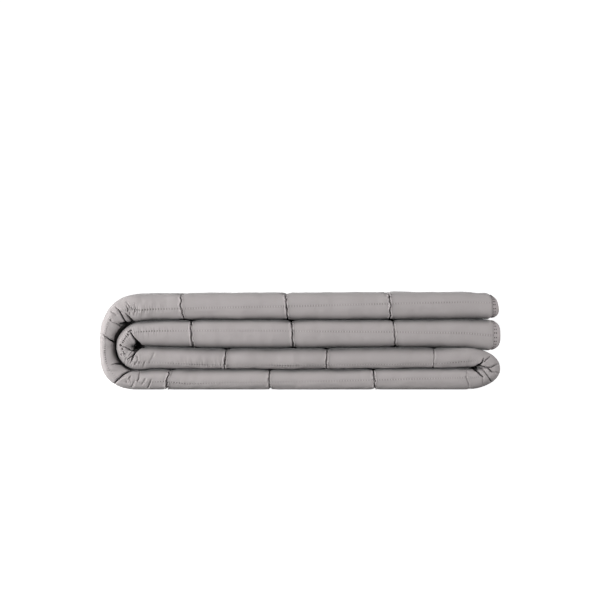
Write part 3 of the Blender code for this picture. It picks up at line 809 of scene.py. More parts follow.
def seam_relief(along, across, to_right):
    """The narrow grooves at the foot of the seams, with their rolled edges."""
    closest = np.abs(along[:, None] - SEAM_PLACES[None, :]).argmin(axis=1)
    offset = to_right * (along - SEAM_PLACES[closest]) + crook(along, across)
    share = np.array([seam.sharpness for seam in SEAM_WANDER])[closest]
    pinch = 1.0 + PINCH_SPREAD * uneven(PINCH_SEED, along, across, GROOVE_CROOK_PITCH)
    cross = GROOVE_DEPTH * share * pinch * np.exp(-((np.abs(offset) / GROOVE_REACH) ** GROOVE_POWER))
    roll = hump(offset - ROLL_OFFSET, ROLL_REACH) + LEFT_ROLL_SHARE * hump(offset + ROLL_OFFSET, ROLL_REACH)
    near_long = near_share(long_seam_distance(across), LONG_GROOVE_REACH)
    long_ways = LONG_GROOVE_DEPTH * near_long ** LONG_GROOVE_POWER
    front = FRONT_GROOVE_DEPTH * near_share(np.abs(across), FRONT_GROOVE_REACH)
    return np.maximum(np.maximum(cross, long_ways), front) - ROLL_HEIGHT * share * pinch * roll


def swelled_pockets():
    """Swell loose square pockets of cloth on their seams, and keep how far their wrinkles rise and fall.

    The result is one square grid of heights for each pocket.
    """
    points_wide = SWELLED_CELLS + 1
    bm = bmesh.new()
    for number in range(SWELLED_POCKETS):
        made = bmesh.ops.create_grid(
            bm, x_segments=SWELLED_CELLS, y_segments=SWELLED_CELLS, size=0.5 * POCKET * METRES)
        bmesh.ops.translate(bm, vec=(number * (POCKET + SWELLED_GAP) * METRES, 0.0, 0.0), verts=made["verts"])
    mesh = bpy.data.meshes.new("loose_pockets")
    bm.to_mesh(mesh)
    bm.free()
    pockets = link_object("loose_pockets", mesh)
    flat = read_points(mesh) / METRES
    number = np.round(flat[:, 0] / (POCKET + SWELLED_GAP)).astype(int)
    x = flat[:, 0] - number * (POCKET + SWELLED_GAP)
    y = flat[:, 1]
    sewn = np.maximum(np.abs(x), np.abs(y)) > 0.5 * POCKET - SEWN_RIM
    start = flat.copy()
    lumps = START_LUMP * uneven(SWELL_SEED, x + START_SHIFT * number, y, START_SIZE)
    start[:, 2] = np.where(sewn, 0.0, lumps)
    write_points(mesh, start * METRES)
    held = pockets.vertex_groups.new(name="sewn")
    held.add(np.flatnonzero(sewn).tolist(), 1.0, "REPLACE")
    cloth = pockets.modifiers.new("Cloth", "CLOTH")
    for name, value in SWELL_SETTINGS.items():
        setattr(cloth.settings, name, value)
    cloth.settings.effector_weights.gravity = 0.0
    cloth.collision_settings.use_collision = False
    cloth.collision_settings.use_self_collision = False
    cloth.point_cache.frame_start = 1
    cloth.point_cache.frame_end = SWELL_FRAMES
    for frame_number in range(1, SWELL_FRAMES + 1):
        bpy.context.scene.frame_set(frame_number)
    settled = pockets.evaluated_get(bpy.context.evaluated_depsgraph_get())
    height = read_points(settled.data)[:, 2] / METRES
    bpy.context.scene.frame_set(1)
    bpy.data.objects.remove(pockets)
    column = np.round((x / POCKET + 0.5) * SWELLED_CELLS).astype(int)
    row = np.round((y / POCKET + 0.5) * SWELLED_CELLS).astype(int)
    heights = np.zeros((SWELLED_POCKETS, points_wide, points_wide))
    heights[number, column, row] = height
    return np.array([without_dome(pocket) for pocket in heights])


def without_dome(heights):
    """The wrinkles alone: heights less their own running mean."""
    reach = SWELL_SMOOTHING
    window = np.hanning(2 * reach + 3)[1:-1]
    window /= window.sum()
    # Turned over at its edges, so that the mean is 0 on the seams, as the heights are.
    wide = np.pad(heights, reach, mode="reflect", reflect_type="odd")
    for axis in (0, 1):
        wide = np.apply_along_axis(lambda line: np.convolve(line, window, "same"), axis, wide)
    wrinkles = heights - wide[reach:-reach, reach:-reach]
    return np.clip(WRINKLE_SHARE * wrinkles, -WRINKLE_CAP, WRINKLE_CAP)


def wrinkle_relief(along, across, pockets):
    """The swelled pockets' wrinkles, one pocket after another, turned over at random."""
    chance = np.random.default_rng(PICK_SEED)
    picks = chance.integers(0, SWELLED_POCKETS, (len(SEAM_PLACES), POCKETS_ACROSS))
    flips = chance.integers(0, 2, (2, len(SEAM_PLACES), POCKETS_ACROSS))
    column = np.clip(np.searchsorted(SEAM_PLACES, along) - 1, 0, len(SEAM_PLACES) - 2)
    row = np.clip(np.floor((across + HALF_WIDTH) / POCKET), 0, POCKETS_ACROSS - 1).astype(int)
    start, end = SEAM_PLACES[column], SEAM_PLACES[column + 1]
    over = np.clip((along - start) / (end - start), 0.0, 1.0)
    up = np.clip((across + HALF_WIDTH) / POCKET - row, 0.0, 1.0)
    over = np.where(flips[0, column, row] == 1, 1.0 - over, over) * SWELLED_CELLS
    up = np.where(flips[1, column, row] == 1, 1.0 - up, up) * SWELLED_CELLS
    left = np.minimum(over.astype(int), SWELLED_CELLS - 1)
    low = np.minimum(up.astype(int), SWELLED_CELLS - 1)
    side, rise = over - left, up - low
    pick = picks[column, row]
    lower = pockets[pick, left, low] * (1.0 - side) + pockets[pick, left + 1, low] * side
    upper = pockets[pick, left, low + 1] * (1.0 - side) + pockets[pick, left + 1, low + 1] * side
    at_front = np.clip((np.abs(across) - FRONT_ARC) / FRONT_ARC, 0.0, 1.0)
    return (lower * (1.0 - rise) + upper * rise) * (WRINKLE_AT_FRONT + (1.0 - WRINKLE_AT_FRONT) * at_front)


def open_share(along, across):
    """1 where the outer cloth is free to swell, and 0 where layers press on each other."""
    front = near_share(np.abs(across) - FRONT_ARC, FRONT_FADE)
    top = (along < SPANS["outer_fold"][1]) & (across < 0.0)
    end = (along > SPANS["right_fold"][0]) & (along < SPANS["right_fold"][1]) & (across < 0.0)
    return np.where(top | end, 1.0, front)


def painted_contact_shade(along, across):
    """Painted shade where the front cloth turns in against the next layer: 1 there, and 0 where it can be
    seen.
    """
    past_fold = np.clip((along - SPANS["right_fold"][1]) / CONTACT_FADE, 0.0, 1.0)
    facing = np.where(across > 0.0, 1.0, past_fold)
    turned_in = np.clip((np.abs(across) - CONTACT_FROM) / (CONTACT_FULL - CONTACT_FROM), 0.0, 1.0) ** 2
    in_fold = (along > SPANS["outer_fold"][0]) & (along < SPANS["outer_fold"][1])
    inside = np.clip(from_end(along) / EDGE_PILLOW - CONTACT_END_SHARE, 0.0, 1.0)
    return np.where(in_fold, CONTACT_IN_FOLD, 1.0) * facing * turned_in * inside


def cell_size(along, across, outer):
    """The size of cell that the body's mesh needs here."""
    size = np.full(len(along), HIDDEN_CELL)
    cross_distance, _ = nearest_cross_seam(along)
    seam_distance = np.minimum(cross_distance, long_seam_distance(across))
    in_pocket = (seam_distance > POCKET_RIM) & (np.abs(across) > FRONT_ARC)
    for zone in ZONES:
        within = (along >= zone.start) & (along <= zone.end) & (across >= zone.right) & (across <= zone.left)
        edge = max(abs(zone.right), abs(zone.left)) > HALF_WIDTH
        cell = np.where(in_pocket, max(zone.cell, POCKET_MIDDLE_CELL), zone.cell)
        cell = np.where(outer, cell, max(zone.cell, POCKET_MIDDLE_CELL) if edge else HIDDEN_CELL)
        size = np.where(within, np.minimum(size, cell), size)
    front = outer & (np.abs(across) < FRONT_ZONE)
    size = np.where(front & (cross_distance < SEAM_CELL_REACH), np.minimum(size, SEAM_CELL), size)
    tight = front & (np.abs(across) < FINEST_FRONT_SHARE * FRONT_ZONE) & (cross_distance < FINEST_SEAM_REACH)
    size = np.where(tight, np.minimum(size, FINEST_CELL), size)
    x, z = seen_from_front(fold_over(along, across, np.ones_like(along)))
    for crease in CREASES:
        low, high = crease.stretch
        on = np.flatnonzero(front & (along > low) & (along < high))
        distance, _, share = along_crease(crease, x[on], z[on])
        wide = between(crease.widths, share)
        cell = np.where(wide < WIDE_CREASE, FINEST_CELL, SEAM_CELL)
        close = distance < CREASE_CELL_REACH + wide
        size[on] = np.where(close, np.minimum(cell, size[on]), size[on])
    return size


def flat_body():
    """The blanket as a flat grid with two faces, in cells as fine as each place needs.

    X is along, Y is across, and Z is 1 on the outer cloth and 0 on the inner.
    """
    along_lines = np.concatenate([
        np.linspace(start, end, CELLS_PER_POCKET, endpoint=False)
        for start, end in zip(SEAM_PLACES[:-1], SEAM_PLACES[1:])
    ] + [[LENGTH]])
    columns = len(along_lines) - 1
    rows = POCKETS_ACROSS * CELLS_PER_POCKET
    bm = bmesh.new()
    bmesh.ops.create_grid(bm, x_segments=columns, y_segments=rows, size=0.5)
    outer = bmesh.ops.extrude_face_region(bm, geom=bm.faces[:], use_keep_orig=True)["geom"]
    raised = [item for item in outer if isinstance(item, bmesh.types.BMVert)]
    bmesh.ops.translate(bm, vec=(0.0, 0.0, 1.0), verts=raised)
    for vertex in bm.verts:
        x, y, z = vertex.co
        vertex.co = (along_lines[round((x + 0.5) * columns)], 2.0 * HALF_WIDTH * y, z)
    for _ in range(FINEST_ROUNDS):
        ends = np.array([(*edge.verts[0].co, *edge.verts[1].co) for edge in bm.edges])
        middle = 0.5 * (ends[:, :3] + ends[:, 3:])
        length = np.hypot(ends[:, 0] - ends[:, 3], ends[:, 1] - ends[:, 4])
        long_edge = length > LONGEST_EDGE * cell_size(middle[:, 0], middle[:, 1], middle[:, 2] > 0.5)
        chosen = [edge for edge, is_long in zip(bm.edges, long_edge) if is_long]
        if not chosen:
            break
        bmesh.ops.subdivide_edges(bm, edges=chosen, cuts=1, use_grid_fill=True)
    return bm


def read_points(mesh):
    """A mesh's points, one row for each."""
    points = np.empty(3 * len(mesh.vertices), np.float32)
    mesh.vertices.foreach_get("co", points)
    return points.reshape(-1, 3).astype(float)


def write_points(mesh, points):
    mesh.vertices.foreach_set("co", points.astype(np.float32).ravel())
    mesh.update()


def read_normals(mesh):
    normals = np.empty(3 * len(mesh.vertices), np.float32)
    mesh.vertex_normals.foreach_get("vector", normals)
    return normals.reshape(-1, 3).astype(float)


def give_pattern(mesh, flat):
    """A UV map of the sewing pattern, in metres, which the weave follows."""
    corners = np.empty(len(mesh.loops), np.int32)
    mesh.loops.foreach_get("vertex_index", corners)
    layer = mesh.uv_layers.new(name="pattern")
    layer.data.foreach_set("uv", (flat[corners, :2] * METRES).astype(np.float32).ravel())


def give_values(mesh, name, values):
    """An attribute with one number for each point, for the cloth's material."""
    attribute = mesh.attributes.new(name, "FLOAT", "POINT")
    attribute.data.foreach_set("value", values.astype(np.float32))


def link_object(name, data):
    """A new object in the scene."""
    made = bpy.data.objects.new(name, data)
    bpy.context.scene.collection.objects.link(made)
    return made


def add_piece(name, mesh, material):
    """A smooth piece of one material."""
    mesh.materials.append(material)
    mesh.shade_smooth()
    return link_object(name, mesh)


def make_body(material):
    """The quilted body, laid in its folds and then given its grooves, puckers and creases."""
    bm = flat_body()
    bmesh.ops.recalc_face_normals(bm, faces=bm.faces)
    # The extrusion puts the faces of the edge in another order in each run, so all of them are sorted.
    bm.verts.index_update()
    faces = sorted([vertex.index for vertex in face.verts] for face in bm.faces)
    mesh = bpy.data.meshes.new("quilted_blanket")
    mesh.from_pydata([vertex.co[:] for vertex in bm.verts], [], faces)
    bm.free()
    flat = read_points(mesh)
    along, across, outer = flat[:, 0], flat[:, 1], flat[:, 2] > 0.5
    laid = fold_over(along, across, body_fullness(along, across, outer))
    write_points(mesh, laid * METRES)
    full = np.ones_like(along)
    ahead = fold_over(along + 1.0, across, full) - fold_over(along, across, full)
    to_right = np.sign(ahead[:, 0])
    relief = pucker_relief(along, across) - seam_relief(along, across, to_right)
    off_contact = 1.0 - hump(np.abs(across) - FRONT_ARC, CONTACT_REACH)
    relief += off_contact * FILLING_LUMP * uneven(FILLING_SEED, along, across, FILLING_SIZE)
    relief += off_contact * PULL_DEPTH * uneven(PULL_SEED, PULL_LENGTH_SHARE * along, across, PULL_PITCH)
    relief += off_contact * wrinkle_relief(along, across, swelled_pockets())
    off_edge = np.clip(from_edge(along, across) / RELIEF_FADE, 0.0, 1.0)
    relief_share = open_share(along, across) * outer * off_edge
    normals = read_normals(mesh)
    straight = normals - (0.0, CREASE_STRAIGHT, 0.0)
    straight /= np.linalg.norm(straight, axis=1)[:, None]
    creased = crease_relief(along, across, *seen_from_front(laid)) * relief_share
    laid += normals * (relief * relief_share)[:, None] - straight * creased[:, None]
    laid[:, 2] = np.maximum(laid[:, 2], LAYER_GAP / 2)
    write_points(mesh, laid * METRES)
    give_pattern(mesh, flat)
    give_values(mesh, "gather", gather(along, across) * outer)
    # Painted shade: the cloth's colour is darkened at the bottom of the deep creases and where the layers
    # meet.
    painted_shade = np.clip((creased - HOLLOW_START) / (HOLLOW_FULL - HOLLOW_START), 0.0, 1.0)
    give_values(mesh, "painted_shade", np.maximum(painted_shade, painted_contact_shade(along, across)))
    return add_piece("quilted_blanket", mesh, material)


def add_node(tree, kind, inputs=None, **settings):
    """A node with its settings, and with its inputs set to a value or linked to a socket."""
    made = tree.nodes.new(kind)
    for name, value in settings.items():
        setattr(made, name, value)
    for socket, value in (inputs or {}).items():
        if isinstance(value, bpy.types.NodeSocket):
            tree.links.new(value, made.inputs[socket])
        else:
            made.inputs[socket].default_value = value
    return made


def stitch_tree():
    """A short stitch of thread on every point of a mesh's edges, all in one plain mesh."""
    tree = bpy.data.node_groups.new("stitches", "GeometryNodeTree")
    tree.interface.new_socket("Geometry", in_out="INPUT", socket_type="NodeSocketGeometry")
    for name in ("Length", "Radius"):
        tree.interface.new_socket(name, in_out="INPUT", socket_type="NodeSocketFloat")
    tree.interface.new_socket("Thread", in_out="INPUT", socket_type="NodeSocketMaterial")
    tree.interface.new_socket("Geometry", in_out="OUTPUT", socket_type="NodeSocketGeometry")
    given = add_node(tree, "NodeGroupInput").outputs
    route = add_node(tree, "GeometryNodeMeshToCurve", {"Mesh": given["Geometry"]})
    spots = add_node(tree, "GeometryNodeCurveToPoints", {"Curve": route.outputs["Curve"]}, mode="EVALUATED")
    ball = add_node(tree, "GeometryNodeMeshUVSphere", {"Segments": STITCH_SIDES, "Rings": STITCH_RINGS})
    half = add_node(tree, "ShaderNodeMath", {0: given["Length"], 1: 0.5}, operation="MULTIPLY")
    sizes = {"X": given["Radius"], "Y": given["Radius"], "Z": half.outputs["Value"]}
    size = add_node(tree, "ShaderNodeCombineXYZ", sizes)
    stitches = add_node(tree, "GeometryNodeInstanceOnPoints", {
        "Points": spots.outputs["Points"],
        "Instance": ball.outputs["Mesh"],
        "Rotation": spots.outputs["Rotation"],
        "Scale": size.outputs["Vector"],
    })
    real = add_node(tree, "GeometryNodeRealizeInstances", {"Geometry": stitches.outputs["Instances"]})
    paint = {"Geometry": real.outputs["Geometry"], "Material": given["Thread"]}
    painted = add_node(tree, "GeometryNodeSetMaterial", paint)
    add_node(tree, "NodeGroupOutput", {"Geometry": painted.outputs["Geometry"]})
    return tree


def sew(name, routes, tree, length, radius, thread):
    """Sew a stitch on each point of these routes, in millimetres."""
    points = np.concatenate(routes) * METRES
    edges = []
    first = 0
    for route in routes:
        edges += [(place, place + 1) for place in range(first, first + len(route) - 1)]
        first += len(route)
    mesh = bpy.data.meshes.new(name + "_routes")
    mesh.from_pydata(points.tolist(), edges, [])
    guide = link_object(name + "_routes", mesh)
    modifier = guide.modifiers.new("stitches", "NODES")
    modifier.node_group = tree
    values = {"Length": length * METRES, "Radius": radius * METRES, "Thread": thread}
    for socket in tree.interface.items_tree:
        if socket.in_out == "INPUT" and socket.name in values:
            modifier[socket.identifier] = values[socket.name]
    evaluated = guide.evaluated_get(bpy.context.evaluated_depsgraph_get())
    sewn = bpy.data.meshes.new_from_object(evaluated)
    bpy.data.objects.remove(guide)
    sewn.name = name
    sewn.shade_smooth()
    return link_object(name, sewn)


def flat_route(start, end):
    """Places on the flat blanket from one to another, a stitch apart."""
    steps = round(math.hypot(end[0] - start[0], end[1] - start[1]) / STITCH_PITCH)
    return np.linspace(start, end, steps + 1)


def quilting_routes(body):
    """Where the quilting's thread shows: round the front, on the top, and outside two of the folds."""
    last = math.floor(LENGTH / STITCH_PITCH) - 1
    flat = [flat_route((2.0 * STITCH_PITCH, 0.0), (last * STITCH_PITCH, 0.0))]
    far = -HALF_WIDTH + STITCH_MARGIN
    open_stretches = (
        (STITCH_MARGIN, SPANS["outer_fold"][1] - OUTER_STITCH_STOP),
        (SPANS["right_fold"][0] + RIGHT_STITCH_START, SPANS["right_fold"][1]),
    )
    for line in range(1, POCKETS_ACROSS // 2):
        flat += [flat_route((low, -line * POCKET), (high, -line * POCKET)) for low, high in open_stretches]
    for place in SEAM_PLACES[1:-1]:
        is_open = any(low < place < high for low, high in open_stretches)
        flat.append(flat_route((place, FRONT_STITCH_REACH), (place, far if is_open else -FRONT_STITCH_REACH)))
    surface = BVHTree.FromObject(body, bpy.context.evaluated_depsgraph_get())
    routes = []
    for route in flat:
        along, across = route.T
        ahead = fold_over(along + 1.0, across, np.ones_like(along))
        laid = fold_over(along, across, np.ones_like(along))
        if route[0, 0] == route[-1, 0]:
            way = ahead - laid
            laid -= way * (np.sign(way[:, 0]) * crook(along, across))[:, None]
        nearest = [surface.find_nearest(Vector(point) * METRES) for point in laid]
        lift = STITCH_LIFT * STITCH_RADIUS * METRES
        routes.append(np.array([(place + lift * out) / METRES for place, out, _, _ in nearest]))
    return routes


def binding_routes():
    """Two rows of stitches on the outer face of the binding."""
    stations = binding_stations(BINDING_STITCH_PITCH, BINDING_STITCH_CORNER_STEPS)
    routes = []
    for row in BINDING_ROWS:
        along = stations[:, 0] + stations[:, 2] * row
        across = stations[:, 1] + stations[:, 3] * row
        height = BINDING_STITCH_HEIGHT * 0.5 * BINDING_THICKNESS
        laid = fold_over(along, across, edge_fullness(along, across) + height / half_height(along))
        routes.append(np.concatenate((laid, laid[:1])))
    return routes


def binding_section():
    """The tape's section as it goes round the edge: distance out from the edge, and height off its middle."""
    half = 0.5 * BINDING_THICKNESS
    outside = [(BINDING_GAP + out, share * half) for out, share in TAPE_OUTSIDE]
    inside = [(BINDING_GAP + out, share * half - TAPE_THICKNESS) for out, share in TAPE_INSIDE]
    inside.append((BINDING_GAP + BINDING_WIDTH - TAPE_THICKNESS, 0.0))
    for face in (outside, inside):
        face += [(out, -height) for out, height in reversed(face[:-1])]
    return outside + inside[::-1]


def binding_stations(pitch, corner_steps):
    """Once round the blanket's edge: the place on the edge, and the way out from it."""
    side = HALF_WIDTH
    corners = np.array(((0.0, -side), (LENGTH, -side), (LENGTH, side), (0.0, side)))
    ways_out = np.array(((0.0, -1.0), (1.0, 0.0), (0.0, 1.0), (-1.0, 0.0)))
    stations = []
    for number in range(4):
        following = (number + 1) % 4
        edge = (corners[number], corners[following])
        steps = round(math.hypot(*(edge[1] - edge[0])) / pitch)
        for share in np.linspace(0.0, 1.0, steps, endpoint=False):
            stations.append((*between(edge, share), *ways_out[number]))
        for share in np.linspace(0.0, 1.0, corner_steps, endpoint=False):
            out = between((ways_out[number], ways_out[following]), share)
            size = np.sum(out ** CORNER_POWER) ** (1.0 / CORNER_POWER)
            stations.append((*edge[1], *(out / size)))
    return np.array(stations)


def make_binding(material):
    """A ring of tape folded over the blanket's edge all round, laid in the same folds."""
    stations = binding_stations(BINDING_PITCH, BINDING_CORNER_STEPS)
    section = np.array(binding_section())
    count, ring = len(stations), len(section)
    along = (stations[:, None, 0] + stations[:, None, 2] * section[None, :, 0]).ravel()
    across = (stations[:, None, 1] + stations[:, None, 3] * section[None, :, 0]).ravel()
    height = np.broadcast_to(section[None, :, 1], (count, ring)).ravel()
    laid = fold_over(along, across, edge_fullness(along, across) + height / half_height(along))
    faces = []
    for station in range(count):
        following = (station + 1) % count
        for point in range(ring):
            beside = (point + 1) % ring
            faces.append((
                station * ring + point,
                following * ring + point,
                following * ring + beside,
                station * ring + beside,
            ))
    mesh = bpy.data.meshes.new("binding_tape")
    mesh.from_pydata((laid * METRES).tolist(), [], faces)
    bm = bmesh.new()
    bm.from_mesh(mesh)
    bmesh.ops.recalc_face_normals(bm, faces=bm.faces)
    bm.to_mesh(mesh)
    bm.free()
    run = np.stack((along, across + height), axis=-1)
    give_pattern(mesh, run)
    return add_piece("binding_tape", mesh, material)


def wave_scale(repeat):
    """A wave texture's scale for bands that repeat after this many millimetres."""
    return math.tau / (WAVE_RADIANS * repeat * METRES)


def new_material(name, roughness):
    """A new material's node tree and its surface shader."""
    material = bpy.data.materials.new(name)
    material.use_nodes = True
    shader = material.node_tree.nodes["Principled BSDF"]
    shader.inputs["Roughness"].default_value = roughness
    return material, material.node_tree, shader.inputs


def cloth_material(cloth):
    """Fine plain weave, in two close tones, with a soft nap."""
    material, tree, shader = new_material(cloth.name, cloth.roughness)
    shader["Sheen Weight"].default_value = cloth.sheen
    shader["Sheen Roughness"].default_value = SHEEN_ROUGHNESS
    shader["Specular IOR Level"].default_value = CLOTH_SPECULAR
    pattern = add_node(tree, "ShaderNodeUVMap", uv_map="pattern").outputs["UV"]
    bands = {
        "Scale": wave_scale(WEAVE_REPEAT * cloth.thread),
        "Distortion": WEAVE_DISTORTION,
        "Detail": 1.0,
        "Vector": pattern,
    }
    warp, weft = (
        add_node(tree, "ShaderNodeTexWave", bands, wave_type="BANDS", bands_direction=way).outputs["Fac"]
        for way in ("X", "Y")
    )
    weave = add_node(tree, "ShaderNodeMath", {0: warp, 1: weft}, operation="MAXIMUM").outputs["Value"]
    spread = {"Detail": TONE_DETAIL, "Vector": pattern}
    nap = add_node(tree, "ShaderNodeTexNoise", {"Scale": NAP_SCALE, **spread}).outputs["Fac"]
    cloud = add_node(tree, "ShaderNodeTexNoise", {"Scale": CLOUD_SCALE, **spread}).outputs["Fac"]
    tone = add_node(tree, "ShaderNodeMix", {0: NAP_SHARE, 2: cloud, 3: nap}, data_type="FLOAT")
    tones = {0: tone.outputs[0], 6: cloth.shade, 7: cloth.colour}
    colours = add_node(tree, "ShaderNodeMix", tones, data_type="RGBA")
    tree.links.new(colours.outputs[2], shader["Base Color"])
    surface = add_node(tree, "ShaderNodeMath", {0: weave, 1: nap}, operation="ADD").outputs["Value"]
    relief = {"Strength": WEAVE_BUMP, "Distance": WEAVE_HEIGHT * METRES, "Height": surface}
    bump = add_node(tree, "ShaderNodeBump", relief)
    tree.links.new(bump.outputs["Normal"], shader["Normal"])
    return material


def paint_shade_on_cloth(material, share):
    """Make the cloth's colour this share as light, as painted shade."""
    tree = material.node_tree
    colour = tree.nodes["Principled BSDF"].inputs["Base Color"]
    shading = {0: colour.links[0].from_socket, "Scale": share}
    shaded = add_node(tree, "ShaderNodeVectorMath", shading, operation="SCALE")
    tree.links.new(shaded.outputs["Vector"], colour)


def add_sewing(material):
    """Needle holes darkened with painted shade, and short gathers along the front seam, where the cloth's own
    weave already is.
    """
    tree = material.node_tree
    weave_bump = tree.nodes["Principled BSDF"].inputs["Normal"].links[0].from_node
    pattern = add_node(tree, "ShaderNodeUVMap", uv_map="pattern").outputs["UV"]
    split = add_node(tree, "ShaderNodeSeparateXYZ", {"Vector": pattern}).outputs
    pitch = STITCH_PITCH * METRES
    stitches = add_node(tree, "ShaderNodeMath", {0: split["X"], 1: pitch}, operation="DIVIDE")
    part = add_node(tree, "ShaderNodeMath", {0: stitches.outputs["Value"]}, operation="FRACT")
    centred = {0: part.outputs["Value"], 1: pitch, 2: -0.5 * pitch}
    aside = add_node(tree, "ShaderNodeMath", centred, operation="MULTIPLY_ADD")
    place = add_node(tree, "ShaderNodeCombineXYZ", {"X": aside.outputs["Value"], "Y": split["Y"]})
    far = add_node(tree, "ShaderNodeVectorMath", {0: place.outputs["Vector"]}, operation="LENGTH")
    gathered = add_node(tree, "ShaderNodeAttribute", attribute_name="gather").outputs["Fac"]
    pull = {"To Min": 1.0 - HOLE_AT_REST, "To Max": HOLE_SHADE, "Value": gathered}
    pulled = add_node(tree, "ShaderNodeMapRange", pull)
    # Painted shade: the cloth is darkened in each needle hole, more where the seam gathers it.
    painted_hole_shade = add_node(tree, "ShaderNodeMapRange", {
        "From Min": HOLE_RADIUS * METRES,
        "From Max": HOLE_RIM * HOLE_RADIUS * METRES,
        "To Min": pulled.outputs["Result"],
        "To Max": 1.0,
        "Value": far.outputs["Value"],
    })
    paint_shade_on_cloth(material, painted_hole_shade.outputs["Result"])
    bands = {
        "Scale": wave_scale(STITCH_PITCH),
        "Distortion": GATHER_DISTORTION,
        "Phase Offset": math.pi,
        "Detail": 1.0,
        "Detail Scale": GATHER_DETAIL_SCALE,
        "Vector": pattern,
    }
    ripple = add_node(tree, "ShaderNodeTexWave", bands, wave_type="BANDS", bands_direction="X")
    height = add_node(tree, "ShaderNodeMath", {0: ripple.outputs["Fac"], 1: gathered}, operation="MULTIPLY")
    relief = {"Strength": 1.0, "Distance": GATHER_HEIGHT * METRES, "Height": height.outputs["Value"]}
    bump = add_node(tree, "ShaderNodeBump", relief)
    tree.links.new(bump.outputs["Normal"], weave_bump.inputs["Normal"])


def paint_hollow_shade(material):
    """Painted shade: darker cloth at the bottom of the deep creases and where the layers meet."""
    tree = material.node_tree
    painted_shade = add_node(tree, "ShaderNodeAttribute", attribute_name="painted_shade").outputs["Fac"]
    darker = {"To Min": 1.0, "To Max": HOLLOW_SHADE, "Value": painted_shade}
    paint_shade_on_cloth(material, add_node(tree, "ShaderNodeMapRange", darker).outputs["Result"])


def thread_material(thread):
    """Twisted thread, a little lighter or darker from stitch to stitch, with its plies as fine ridges."""
    material, tree, shader = new_material(thread.name, THREAD_ROUGHNESS)
    place = add_node(tree, "ShaderNodeTexCoord").outputs["Object"]
    spread = {"Scale": 1.0 / (THREAD_TONE_SIZE * METRES), "Vector": place}
    tones = {0: add_node(tree, "ShaderNodeTexNoise", spread).outputs["Fac"]}
    for socket, share in ((6, 1.0 - THREAD_TONE_SPREAD), (7, 1.0 + THREAD_TONE_SPREAD)):
        tones[socket] = (*(share * part for part in thread.colour), 1.0)
    colours = add_node(tree, "ShaderNodeMix", tones, data_type="RGBA")
    tree.links.new(colours.outputs[2], shader["Base Color"])
    bands = {"Scale": wave_scale(PLY_PITCH), "Vector": place}
    plies = add_node(tree, "ShaderNodeTexWave", bands, wave_type="BANDS", bands_direction="DIAGONAL")
    relief = {"Distance": PLY_HEIGHT * METRES, "Height": plies.outputs["Fac"]}
    tree.links.new(add_node(tree, "ShaderNodeBump", relief).outputs["Normal"], shader["Normal"])
    return material


def light_by_height(tree, height, stops):
    """Light from each height of the studio, as a ramp."""
    ramp = add_node(tree, "ShaderNodeValToRGB", {"Fac": height})
    elements = ramp.color_ramp.elements
    for number, (place, light) in enumerate(stops):
        element = elements[number] if number < 2 else elements.new(place)
        element.position = place
        element.color = (light, light, light, 1.0)
    return ramp.outputs["Color"]


def studio_world():
    """Soft light all round, with a white backdrop behind the blanket that stands a little above the floor."""
    world = bpy.data.worlds.new("studio")
    world.use_nodes = True
    tree = world.node_tree
    direction = add_node(tree, "ShaderNodeTexCoord").outputs["Generated"]
    split = add_node(tree, "ShaderNodeSeparateXYZ", {"Vector": direction}).outputs
    from_below = {"From Min": -1.0, "From Max": 1.0, "Value": split["Z"]}
    height = add_node(tree, "ShaderNodeMapRange", from_below).outputs["Result"]
    to_back = {"From Min": BACKDROP_FROM, "From Max": BACKDROP_TO, "Value": split["Y"]}
    behind = add_node(tree, "ShaderNodeMapRange", to_back, interpolation_type="SMOOTHSTEP")
    around = light_by_height(tree, height, STUDIO_LIGHT)
    backdrop = {0: light_by_height(tree, height, BACKDROP_LIGHT), "Scale": behind.outputs["Result"]}
    shown = add_node(tree, "ShaderNodeVectorMath", backdrop, operation="SCALE")
    total = add_node(tree, "ShaderNodeVectorMath", {0: around, 1: shown.outputs["Vector"]}, operation="ADD")
    tree.links.new(total.outputs["Vector"], tree.nodes["Background"].inputs["Color"])
    return world


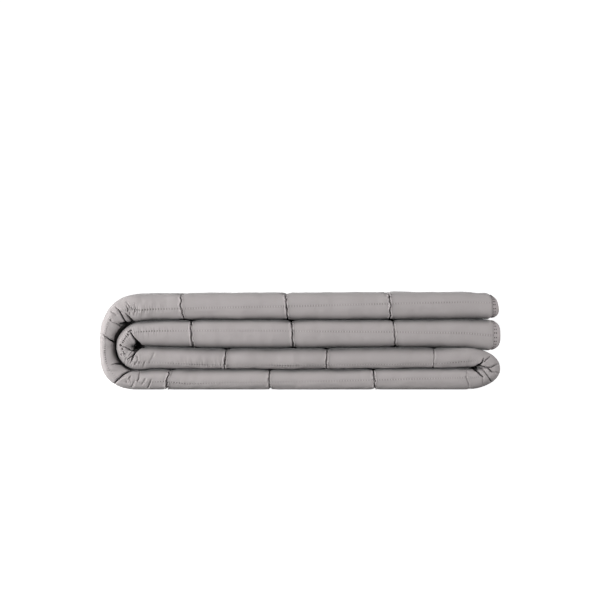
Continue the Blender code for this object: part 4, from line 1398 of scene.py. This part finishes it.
def make_stage():
    """A pale floor under soft white studio light."""
    bm = bmesh.new()
    bmesh.ops.create_grid(bm, x_segments=1, y_segments=1, size=FLOOR_REACH)
    mesh = bpy.data.meshes.new("floor")
    bm.to_mesh(mesh)
    bm.free()
    paint, _, shader = new_material("pale_floor", FLOOR_ROUGHNESS)
    shader["Base Color"].default_value = FLOOR_COLOUR
    shader["Emission Color"].default_value = WHITE
    shader["Emission Strength"].default_value = FLOOR_GLOW
    mesh.materials.append(paint)
    floor = link_object("floor", mesh)
    floor.location = (0.0, 0.0, -FLOOR_DROP)
    floor.visible_diffuse = False
    floor.visible_glossy = False
    bpy.context.scene.world = studio_world()
    bpy.context.scene.view_settings.view_transform = "Standard"


def add_softbox(softbox):
    """A square lamp that faces the front of the blanket."""
    data = bpy.data.lights.new(softbox.name, "AREA")
    data.shape = "SQUARE"
    data.size = SOFTBOX_SIZE
    data.energy = softbox.power
    light = link_object(softbox.name, data)
    light.location = softbox.place
    direction = Vector(SOFTBOX_TARGET) - Vector(softbox.place)
    light.rotation_euler = direction.to_track_quat("-Z", "Y").to_euler()


def make_camera():
    """The camera, level and straight on."""
    data = bpy.data.cameras.new("camera")
    data.lens = LENS
    data.sensor_width = SENSOR
    camera = link_object("camera", data)
    camera.location = (0.0, ARC_Y * METRES - CAMERA_DISTANCE, CAMERA_HEIGHT)
    camera.rotation_euler = (0.5 * math.pi, 0.0, 0.0)
    bpy.context.scene.camera = camera


def main():
    """Make the stage and the blanket, say what each piece rides on, and hide the imported parts that the body
    and binding take the place of.
    """
    make_camera()
    make_stage()
    for softbox in SOFTBOXES:
        add_softbox(softbox)
    cloth = cloth_material(QUILT_CLOTH)
    add_sewing(cloth)
    paint_hollow_shade(cloth)
    tape = cloth_material(BINDING_SATIN)
    body = make_body(cloth)
    binding = make_binding(tape)
    thread = thread_material(QUILTING_THREAD)
    dark_thread = thread_material(BINDING_THREAD)
    tree = stitch_tree()
    quilting = sew("quilting_stitches", quilting_routes(body), tree, STITCH_LENGTH, STITCH_RADIUS, thread)
    sizes = (BINDING_STITCH_LENGTH, BINDING_STITCH_RADIUS)
    edging = sew("binding_stitches", binding_routes(), tree, *sizes, dark_thread)
    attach(body, "root")
    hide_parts("quilted_body")
    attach(binding, "root")
    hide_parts("edge_binding")
    for stitches in (quilting, edging):
        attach(stitches, "root")


main()
